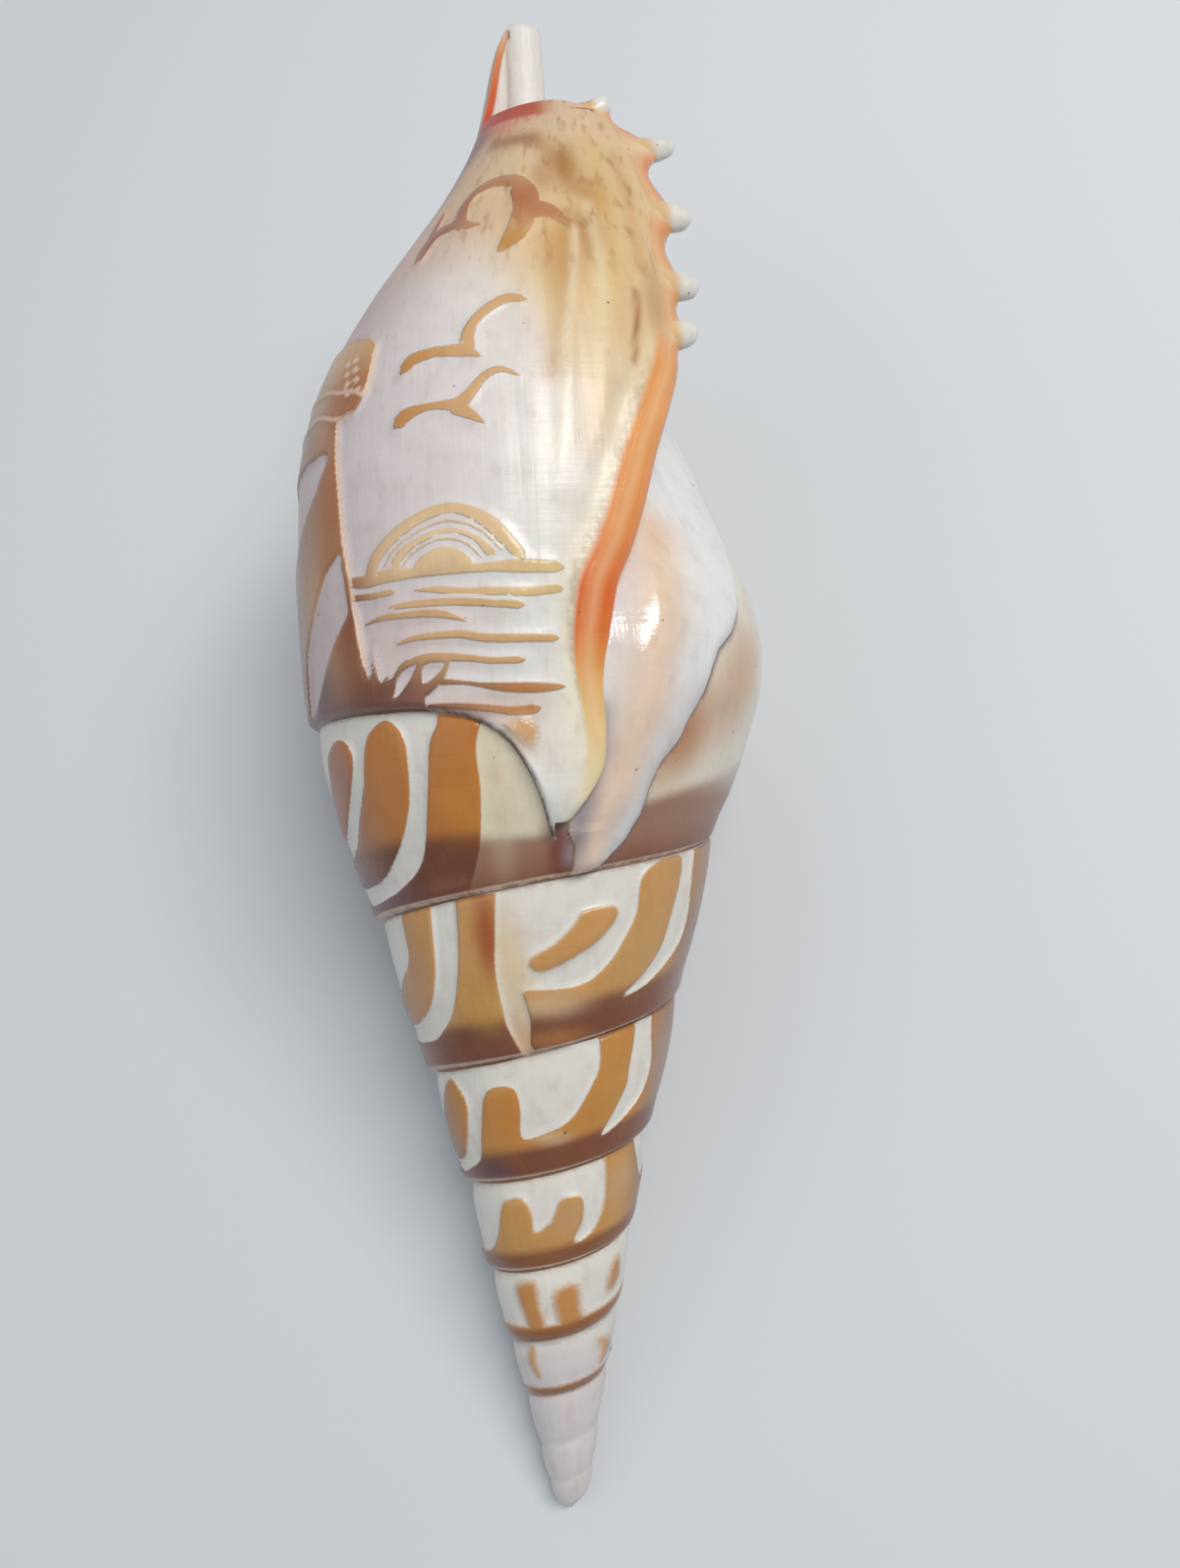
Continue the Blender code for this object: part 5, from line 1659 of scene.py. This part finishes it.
class LipPoints:
    """Blunt points of the lip, each a closed tube from inside the lip to its tip."""

    rings = 14
    sides = 20
    base_depth = 2.1
    crowding = 0.85
    flatness = (0.78, 0.1)
    sag = (0.35, 0.6)
    profile = Curve([(0, 1.9), (0.25, 1.6), (0.5, 1.25), (0.8, 1.0), (0.92, 0.82), (1.0, 0.35)])

    def build(self) -> tuple[Array, Faces, Array]:
        """Points, faces and the share from base to tip of each point."""
        points: list[Array] = []
        faces: Faces = []
        shares: list[Array] = []
        for point in LIP_POINTS:
            start = len(points) * self.rings * self.sides
            ring_points, ring_shares = self.tube(point)
            points.append(ring_points)
            shares.append(ring_shares)
            for r in range(self.rings - 1):
                for s in range(self.sides):
                    a, b = start + r * self.sides + s, start + r * self.sides + (s + 1) % self.sides
                    faces.append((a, b, b + self.sides, a + self.sides))
            faces.append(tuple(range(start + self.sides - 1, start - 1, -1)))
            last = start + (self.rings - 1) * self.sides
            faces.append(tuple(range(last, last + self.sides)))
        LOG.info("lip points: %d", len(LIP_POINTS))
        return np.concatenate(points), faces, np.concatenate(shares)

    @staticmethod
    def tip(point: LipPoint) -> Array:
        """Place of a point's tip."""
        turn, height = np.array([turn_of(LAST_WHORL, point.angle)]), np.array([point.height])
        return FORM.place(turn, height, FORM.radius(turn, height))[0]

    def tube(self, point: LipPoint) -> tuple[Array, Array]:
        """One point of the lip as rings."""
        turn = FORM.body_turn(np.array([point.step]), 1.0)
        edge_height = FORM.edge_height(np.array([point.step]))
        base = FORM.place(turn, edge_height, FORM.radius(turn, edge_height) - self.base_depth)[0]
        run = self.tip(point) - base
        angle = math.radians(point.angle)
        out = np.array([math.sin(angle), 0, math.cos(angle)])
        across = np.cross(run, out)
        across /= np.linalg.norm(across)
        up = np.cross(across, run)
        up /= np.linalg.norm(up)
        share = np.linspace(0, 1, self.rings) ** self.crowding
        turns = np.linspace(0, 2 * np.pi, self.sides, endpoint=False)
        thick = self.profile(share) * point.wide
        flat = self.flatness[0] + self.flatness[1] * share
        sag = self.sag[0] * share * (share - self.sag[1])
        centre = base + run * share[:, None] + np.array([0, 1, 0]) * sag[:, None]
        ring = across * np.cos(turns)[None, :, None] * thick[:, None, None]
        ring = ring + up * (np.sin(turns)[None, :] * (thick * flat)[:, None])[..., None]
        return (centre[:, None] + ring).reshape(-1, 3), np.repeat(share, self.sides)


@dataclass(frozen=True)
class Grain:
    """A noise laid over the shell.

    Args:
        stretch: how fast it changes round, along and through the shell.
        detail: number of its finer layers.
        scale: how fast it changes in all.
        shade: how far it lightens and darkens the colour.
        rough: how far it changes the roughness.
        bump: its share of the fine bumps.
    """

    stretch: tuple[float, float, float]
    detail: float
    scale: float = 1.0
    shade: float = 0.0
    rough: float = 0.0
    bump: float = 0.0


@dataclass(frozen=True)
class ShellFinish:
    """The shell's polished lime: how rough each part is, its grains, and the colours of pits, of dirt and of
    the painted shade in the sutures.
    """

    rough_ground: float = 0.33
    rough_raised: float = 0.26
    rough_gloss: float = 0.17
    rough_least: float = 0.08
    speck: str = "4A3628"
    # Colour of dirt, also laid into the sutures as their painted shade
    dirt_and_shade: str = "6A4A36"
    stain: str = "9C6A3A"
    growth: Grain = Grain((2.6, 0.10, 1.0), 4.0, shade=0.07, rough=0.07, bump=0.45)
    broad: Grain = Grain((0.55, 0.06, 1.0), 3.0, shade=0.09)
    mottle: Grain = Grain((0.35, 0.35, 1.0), 4.0, shade=0.18, rough=0.22, bump=0.6)
    spiral: Grain = Grain((0.05, 3.2, 1.0), 3.0, shade=0.04, bump=0.25)
    wobble: Grain = Grain((1.0, 1.0, 1.0), 3.0, 3.0)
    patches: Grain = Grain((1.4, 1.4, 1.0), 4.0)
    stains: Grain = Grain((0.9, 0.42, 1.0), 5.0)
    wobble_edge: float = 1.1
    line_edge: Span = (-1.2, 0.8)
    line_strength: float = 0.85
    patch_edge: Span = (0.36, 0.62)
    patchy_dirt_and_shade: tuple[float, float] = (0.65, 0.2)
    stain_edge: Span = (0.50, 0.70)
    speck_scale: float = 0.75
    speck_chance: float = 0.80
    speck_size: float = 0.55
    speck_edge: Span = (-0.01, 0.02)
    speck_strength: float = 0.75
    grain_bump: float = 0.16
    grain_height: float = 0.0005
    carved_bump: float = 0.6
    carved_height: float = 0.00016
    refraction: float = 1.5


class ShellPaint:
    """The shell's material, painted from the colours held by its points."""

    def __init__(self, finish: ShellFinish) -> None:
        """Takes the finish."""
        self.finish = finish

    def build(self) -> bpy.types.Material:
        """Makes the material."""
        material = bpy.data.materials.new("carved_shell")
        material.use_nodes = True
        self.nodes = material.node_tree.nodes
        self.links = material.node_tree.links
        self.nodes.clear()
        output = self.nodes.new("ShaderNodeOutputMaterial")
        shader = self.nodes.new("ShaderNodeBsdfPrincipled")
        self.links.new(shader.outputs["BSDF"], output.inputs["Surface"])
        finish, place = self.finish, self.attribute("grain", "Vector")
        wobble = self.noise(place, finish.wobble)
        cover = self.math("MAXIMUM", self.attribute("cover", "Fac"), self.drawn("stroke"))
        cover = self.math("ADD", cover, self.math("MULTIPLY", self.centred(wobble), finish.wobble_edge))
        mask = self.steps(cover, -1.0, 1.0)
        colour = self.mix(mask, self.attribute("ground", "Color"), self.attribute("raised", "Color"))
        line = self.math("MAXIMUM", self.attribute("line", "Fac"), self.drawn("fine"))
        faint = self.math("MULTIPLY", self.steps(line, *finish.line_edge), finish.line_strength)
        colour = self.mix(faint, colour, self.attribute("ink", "Color"))
        growth, broad, mottle, spiral = (
            self.noise(place, grain) for grain in (finish.growth, finish.broad, finish.mottle, finish.spiral)
        )
        shade = self.scaled(growth, finish.growth.shade)
        for noise, grain in ((mottle, finish.mottle), (broad, finish.broad), (spiral, finish.spiral)):
            shade = self.math("ADD", shade, self.scaled(noise, grain.shade))
        colour = self.shaded(colour, self.math("ADD", shade, 1.0))
        patchy = self.steps(self.noise(place, finish.patches), *finish.patch_edge)
        stain = self.steps(self.noise(place, finish.stains), *finish.stain_edge)
        stain = self.math("MULTIPLY", stain, self.attribute("stain", "Fac"))
        colour = self.mix(stain, colour, self.colour(finish.stain))
        # Dirt and painted shade: the dark colour laid into the sutures as their shade and along the rim and
        # callus lines, broken up by patchy noise.
        most, least = finish.patchy_dirt_and_shade
        dirt_and_shade = self.math("ADD", self.math("MULTIPLY", patchy, most), least)
        dirt_and_shade = self.math("MULTIPLY", self.attribute("grime_and_shade", "Fac"), dirt_and_shade)
        colour = self.mix(dirt_and_shade, colour, self.colour(finish.dirt_and_shade))
        colour = self.mix(self.specks(place), colour, self.colour(finish.speck))
        self.links.new(colour, shader.inputs["Base Color"])
        self.links.new(self.roughness(mask, mottle, growth), shader.inputs["Roughness"])
        self.links.new(self.bump(growth, mottle, spiral, mask), shader.inputs["Normal"])
        shader.inputs["IOR"].default_value = finish.refraction
        shader.inputs["Specular IOR Level"].default_value = 0.5
        return material

    def attribute(self, name: str, output: str) -> Socket:
        """A number or colour held by the skin's points."""
        node = self.nodes.new("ShaderNodeAttribute")
        node.attribute_name = name
        return node.outputs[output]

    def drawn(self, kind: str) -> Socket:
        """How deep a point lies inside the strokes of one kind, in widths of their soft edge."""
        away = self.math("ABSOLUTE", self.attribute(kind + "_distance", "Fac"), 0.0)
        depth = self.math("SUBTRACT", self.attribute(kind + "_width", "Fac"), away)
        return self.math("DIVIDE", depth, self.attribute(kind + "_soft", "Fac"))

    def colour(self, code: str) -> Socket:
        """A plain colour."""
        node = self.nodes.new("ShaderNodeRGB")
        node.outputs[0].default_value = (*tone(code), 1.0)
        return node.outputs[0]

    def math(self, kind: str, one: Socket | float, other: Socket | float) -> Socket:
        """A sum, product and so on of two numbers."""
        node = self.nodes.new("ShaderNodeMath")
        node.operation = kind
        for socket, value in zip(node.inputs, (one, other)):
            if isinstance(value, (int, float)):
                socket.default_value = value
            else:
                self.links.new(value, socket)
        return node.outputs[0]

    def centred(self, value: Socket) -> Socket:
        """A noise moved to run either side of 0."""
        return self.math("SUBTRACT", value, 0.5)

    def scaled(self, value: Socket, by: float) -> Socket:
        """A noise either side of 0, made weaker or stronger."""
        return self.math("MULTIPLY", self.centred(value), by)

    def steps(self, value: Socket, low: float, high: float) -> Socket:
        """0 below low, 1 above high, smooth between."""
        node = self.nodes.new("ShaderNodeMapRange")
        node.interpolation_type = "SMOOTHSTEP"
        node.inputs["From Min"].default_value = low
        node.inputs["From Max"].default_value = high
        self.links.new(value, node.inputs["Value"])
        return node.outputs["Result"]

    def mix(self, share: Socket, one: Socket, other: Socket) -> Socket:
        """Mixes two colours."""
        node = self.nodes.new("ShaderNodeMix")
        node.data_type = "RGBA"
        self.links.new(share, node.inputs[0])
        self.links.new(one, node.inputs[6])
        self.links.new(other, node.inputs[7])
        return node.outputs[2]

    def shaded(self, colour: Socket, by: Socket) -> Socket:
        """Makes a colour lighter or darker."""
        node = self.nodes.new("ShaderNodeVectorMath")
        node.operation = "SCALE"
        self.links.new(colour, node.inputs[0])
        self.links.new(by, node.inputs["Scale"])
        return node.outputs[0]

    def noise(self, place: Socket, grain: Grain) -> Socket:
        """Noise laid along and round the shell."""
        mapping = self.nodes.new("ShaderNodeVectorMath")
        mapping.operation = "MULTIPLY"
        mapping.inputs[1].default_value = grain.stretch
        self.links.new(place, mapping.inputs[0])
        node = self.nodes.new("ShaderNodeTexNoise")
        node.inputs["Scale"].default_value = grain.scale
        node.inputs["Detail"].default_value = grain.detail
        self.links.new(mapping.outputs[0], node.inputs["Vector"])
        return node.outputs["Fac"]

    def specks(self, place: Socket) -> Socket:
        """Scattered dark pits of unequal size."""
        finish = self.finish
        cells = self.nodes.new("ShaderNodeTexVoronoi")
        cells.inputs["Scale"].default_value = finish.speck_scale
        self.links.new(place, cells.inputs["Vector"])
        chance = self.nodes.new("ShaderNodeSeparateColor")
        self.links.new(cells.outputs["Color"], chance.inputs["Color"])
        size = self.math("SUBTRACT", chance.outputs["Red"], finish.speck_chance)
        size = self.math("MULTIPLY", self.math("MAXIMUM", size, 0.0), finish.speck_size)
        inside = self.math("SUBTRACT", size, cells.outputs["Distance"])
        return self.math("MULTIPLY", self.steps(inside, *finish.speck_edge), finish.speck_strength)

    def roughness(self, mask: Socket, mottle: Socket, growth: Socket) -> Socket:
        """Ground, raised layer and gloss each have their own roughness."""
        finish = self.finish
        more = self.math("MULTIPLY", mask, finish.rough_raised - finish.rough_ground)
        rough = self.math("ADD", finish.rough_ground, more)
        less = self.math("MULTIPLY", self.attribute("gloss", "Fac"), finish.rough_ground - finish.rough_gloss)
        rough = self.math("SUBTRACT", rough, less)
        rough = self.math("ADD", rough, self.scaled(mottle, finish.mottle.rough))
        rough = self.math("ADD", rough, self.scaled(growth, finish.growth.rough))
        return self.math("MAXIMUM", rough, finish.rough_least)

    def bump(self, growth: Socket, mottle: Socket, spiral: Socket, mask: Socket) -> Socket:
        """Fine growth lines, a slightly uneven polish and the carved edge."""
        finish = self.finish
        total = self.math("MULTIPLY", growth, finish.growth.bump)
        for grain, share in ((mottle, finish.mottle.bump), (spiral, finish.spiral.bump)):
            total = self.math("ADD", total, self.math("MULTIPLY", grain, share))
        fine = self.raised_by(total, finish.grain_bump, finish.grain_height)
        carved = self.raised_by(mask, finish.carved_bump, finish.carved_height)
        self.links.new(fine.outputs["Normal"], carved.inputs["Normal"])
        return carved.outputs["Normal"]

    def raised_by(self, height: Socket, strength: float, distance: float) -> bpy.types.Node:
        """Small bumps that follow a height."""
        node = self.nodes.new("ShaderNodeBump")
        node.inputs["Strength"].default_value = strength
        node.inputs["Distance"].default_value = distance
        self.links.new(height, node.inputs["Height"])
        return node


class CarvedShell:
    """The shell as one mesh in the place of the solid."""

    point_side = (0.1, 0.7)
    point_white = (0.50, 0.74)
    point_gloss = 0.6
    point_grime_and_shade = 0.12
    point_grain = (90, 0, 30)
    grain_turns = 400
    grain_past_lip = 0.3
    grain_apart = 4.0

    def __init__(self) -> None:
        """Works out the skin."""
        self.finished = ShellSkin(Fineness()).build()

    def rest_frame(self) -> Matrix:
        """Shell axes in millimetres to the floor's axes in metres."""
        roll = Matrix.Rotation(math.radians(REST_ROLL), 4, "Y")
        tilt = Matrix.Rotation(math.radians(REST_TILT), 4, "X")
        return Matrix.Translation(Vector(FLOOR_SHIFT) * MM) @ Matrix.Scale(MM, 4) @ tilt @ roll

    def build(self) -> bpy.types.Object:
        """Makes the mesh with its colours and lays it on the floor."""
        skin = self.finished
        tube_points, tube_faces, tube_shares = LipPoints().build()
        start = len(skin.points)
        points = np.vstack([skin.points, tube_points])
        matrix = np.array(self.rest_frame())
        points = points @ matrix[:3, :3].T + matrix[:3, 3]
        points[:, 2] = np.maximum(points[:, 2], 0.0)
        faces = skin.faces + [tuple(k + start for k in face) for face in tube_faces]
        mesh = bpy.data.meshes.new("carved_shell")
        mesh.from_pydata(points, [], faces)
        mesh.update()
        mesh.shade_smooth()
        self.paint(mesh, faces, tube_points, tube_shares)
        mesh.materials.append(ShellPaint(ShellFinish()).build())
        shell = bpy.data.objects.new("carved_shell", mesh)
        bpy.context.scene.collection.objects.link(shell)
        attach(shell, BODY)
        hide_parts(NODE)
        LOG.info("carved shell: %d points, %d faces", len(points), len(faces))
        return shell

    def grain(self) -> Array:
        """Where each point of the skin lies in the noises: millimetres round and along the shell."""
        skin = self.finished
        turns = np.linspace(FIRST_TURN, LAST_TURN + self.grain_past_lip, self.grain_turns)
        cone = np.maximum(CONE(SUTURE(np.minimum(turns, LAST_WHORL))), 1.0)
        way_round = np.cumsum(2 * np.pi * cone) * (turns[1] - turns[0])
        round_shell = np.interp(skin.turn, turns, way_round)
        return np.stack([round_shell, skin.height, skin.outside * self.grain_apart], -1)

    def paint(self, mesh: bpy.types.Mesh, faces: Faces, tube_points: Array, tube_shares: Array) -> None:
        """Stores colours and masks on the mesh's points.

        Args:
            mesh: the shell's mesh.
            faces: its faces.
            tube_points: points of the lip's points, which come last.
            tube_shares: their shares from base to tip.
        """
        skin, size = self.finished, len(tube_shares)
        turns = np.tile(np.linspace(0, 2 * np.pi, LipPoints.sides, endpoint=False), size // LipPoints.sides)
        white = ease(*self.point_white, tube_shares)
        tube = COLOURS.point_side.over(tone(COLOURS.point), ease(*self.point_side, np.sin(turns)))
        tube = COLOURS.point_tip.over(tube, white)
        numbers = {
            "cover": (skin.cover, np.full(size, -skin.most_cover)),
            "line": (skin.line, np.full(size, -skin.most_cover)),
            "gloss": (skin.gloss, np.full(size, self.point_gloss)),
            "stain": (skin.stain, np.zeros(size)),
            "grime_and_shade": (skin.grime_and_shade, self.point_grime_and_shade * white),
        }
        for name, (of_skin, of_points) in numbers.items():
            self.store(mesh, name, "FLOAT", "value", np.append(of_skin, of_points))
        for kind, figures in {"stroke": skin.drawn, "fine": skin.fine}.items():
            for name, values in zip(("distance", "width", "soft"), skin.stroke_corners(figures, faces)):
                self.store(mesh, f"{kind}_{name}", "FLOAT", "value", values, "CORNER")
        place = np.vstack([self.grain(), tube_points + self.point_grain])
        self.store(mesh, "grain", "FLOAT_VECTOR", "vector", place)
        for name, values in {"ground": skin.ground, "raised": skin.raised, "ink": skin.ink}.items():
            rows = np.vstack([values, tube])
            self.store(mesh, name, "FLOAT_COLOR", "color", np.hstack([rows, np.ones((len(rows), 1))]))

    @staticmethod
    def store(
        mesh: bpy.types.Mesh, name: str, kind: str, key: str, values: Array, domain: str = "POINT"
    ) -> None:
        """Puts one set of values on the mesh.

        Args:
            mesh: the shell's mesh.
            name: name that the material reads them by.
            kind: their type.
            key: what each value is called there.
            values: one value for each point, or for each corner of the faces.
            domain: POINT or CORNER.
        """
        mesh.attributes.new(name, kind, domain).data.foreach_set(key, values.astype(np.float32).ravel())


@dataclass(frozen=True)
class AreaLight:
    """A rectangular light that faces the shell.

    Args:
        name: its name.
        at: its place in metres.
        size: width and height in metres.
        power: watts.
        colour: its colour.
    """

    name: str
    at: tuple[float, float, float]
    size: Span
    power: float
    colour: tuple[float, float, float]

    def build(self, target: tuple[float, float, float]) -> None:
        """Adds the light, turned to the target."""
        data = bpy.data.lights.new(self.name, "AREA")
        data.shape = "RECTANGLE"
        data.size, data.size_y = self.size
        data.energy = self.power
        data.color = self.colour
        light = bpy.data.objects.new(self.name, data)
        light.location = self.at
        light.rotation_euler = (Vector(target) - Vector(self.at)).to_track_quat("-Z", "Y").to_euler()
        bpy.context.scene.collection.objects.link(light)


class Studio:
    """Floor, light and the photo's camera."""

    floor_size = 3.0
    floor_colour = (0.62, 0.64, 0.66, 1)
    floor_rough = 0.8
    sky_colour = (0.86, 0.93, 1.0, 1)
    sky_strength = 0.4
    lit_spot = (0, 0, 0.02)
    area_lights = (
        AreaLight("window", (0.22, 0.11, 0.49), (0.14, 0.34), 2.1, (1.0, 0.98, 0.95)),
        AreaLight("fill", (-0.42, -0.10, 0.42), (0.5, 0.5), 0.45, (0.92, 0.96, 1.0)),
    )
    nearest_seen = 0.005

    def __init__(self, matrix: Matrix) -> None:
        """Takes the matrix from the shell's axes to the floor's."""
        self.matrix = matrix

    def build(self) -> None:
        """Adds all of it."""
        self.floor()
        self.lights()
        self.camera()
        bpy.context.scene.view_settings.view_transform = "Standard"
        LOG.info("studio: floor, lights and camera")

    def floor(self) -> None:
        """A plain pale floor."""
        bpy.ops.mesh.primitive_plane_add(size=self.floor_size, location=(0, 0, 0))
        floor = bpy.context.object
        floor.name = "floor"
        material = bpy.data.materials.new("pale_floor")
        material.use_nodes = True
        shader = material.node_tree.nodes["Principled BSDF"]
        shader.inputs["Base Color"].default_value = self.floor_colour
        shader.inputs["Roughness"].default_value = self.floor_rough
        floor.data.materials.append(material)

    def lights(self) -> None:
        """A window-like light up and to the right, a wide fill and a soft sky."""
        world = bpy.data.worlds.new("soft_sky")
        bpy.context.scene.world = world
        world.use_nodes = True
        sky = world.node_tree.nodes["Background"]
        sky.inputs[0].default_value = self.sky_colour
        sky.inputs[1].default_value = self.sky_strength
        for light in self.area_lights:
            light.build(self.lit_spot)

    def camera(self) -> None:
        """The camera at the photo's place and angle."""
        data = bpy.data.cameras.new("photo_camera")
        data.lens = LENS
        data.sensor_width = SENSOR
        data.clip_start = self.nearest_seen
        camera = bpy.data.objects.new("photo_camera", data)
        turn = self.matrix.to_3x3().normalized()
        right, down, forward = (turn @ Vector(v) for v in (CAMERA_RIGHT, CAMERA_DOWN, CAMERA_FORWARD))
        frame_matrix = Matrix((right, -down, -forward)).transposed().to_4x4()
        frame_matrix.translation = self.matrix @ Vector(CAMERA_AT)
        camera.matrix_world = frame_matrix
        bpy.context.scene.collection.objects.link(camera)
        bpy.context.scene.camera = camera


def main() -> None:
    """Builds the shell's looks in order."""
    logging.basicConfig(level=logging.INFO, format="%(message)s")
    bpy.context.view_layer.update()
    carved = CarvedShell()
    carved.build()
    Studio(carved.rest_frame()).build()
    bpy.context.view_layer.update()


if __name__ == "__main__":
    main()
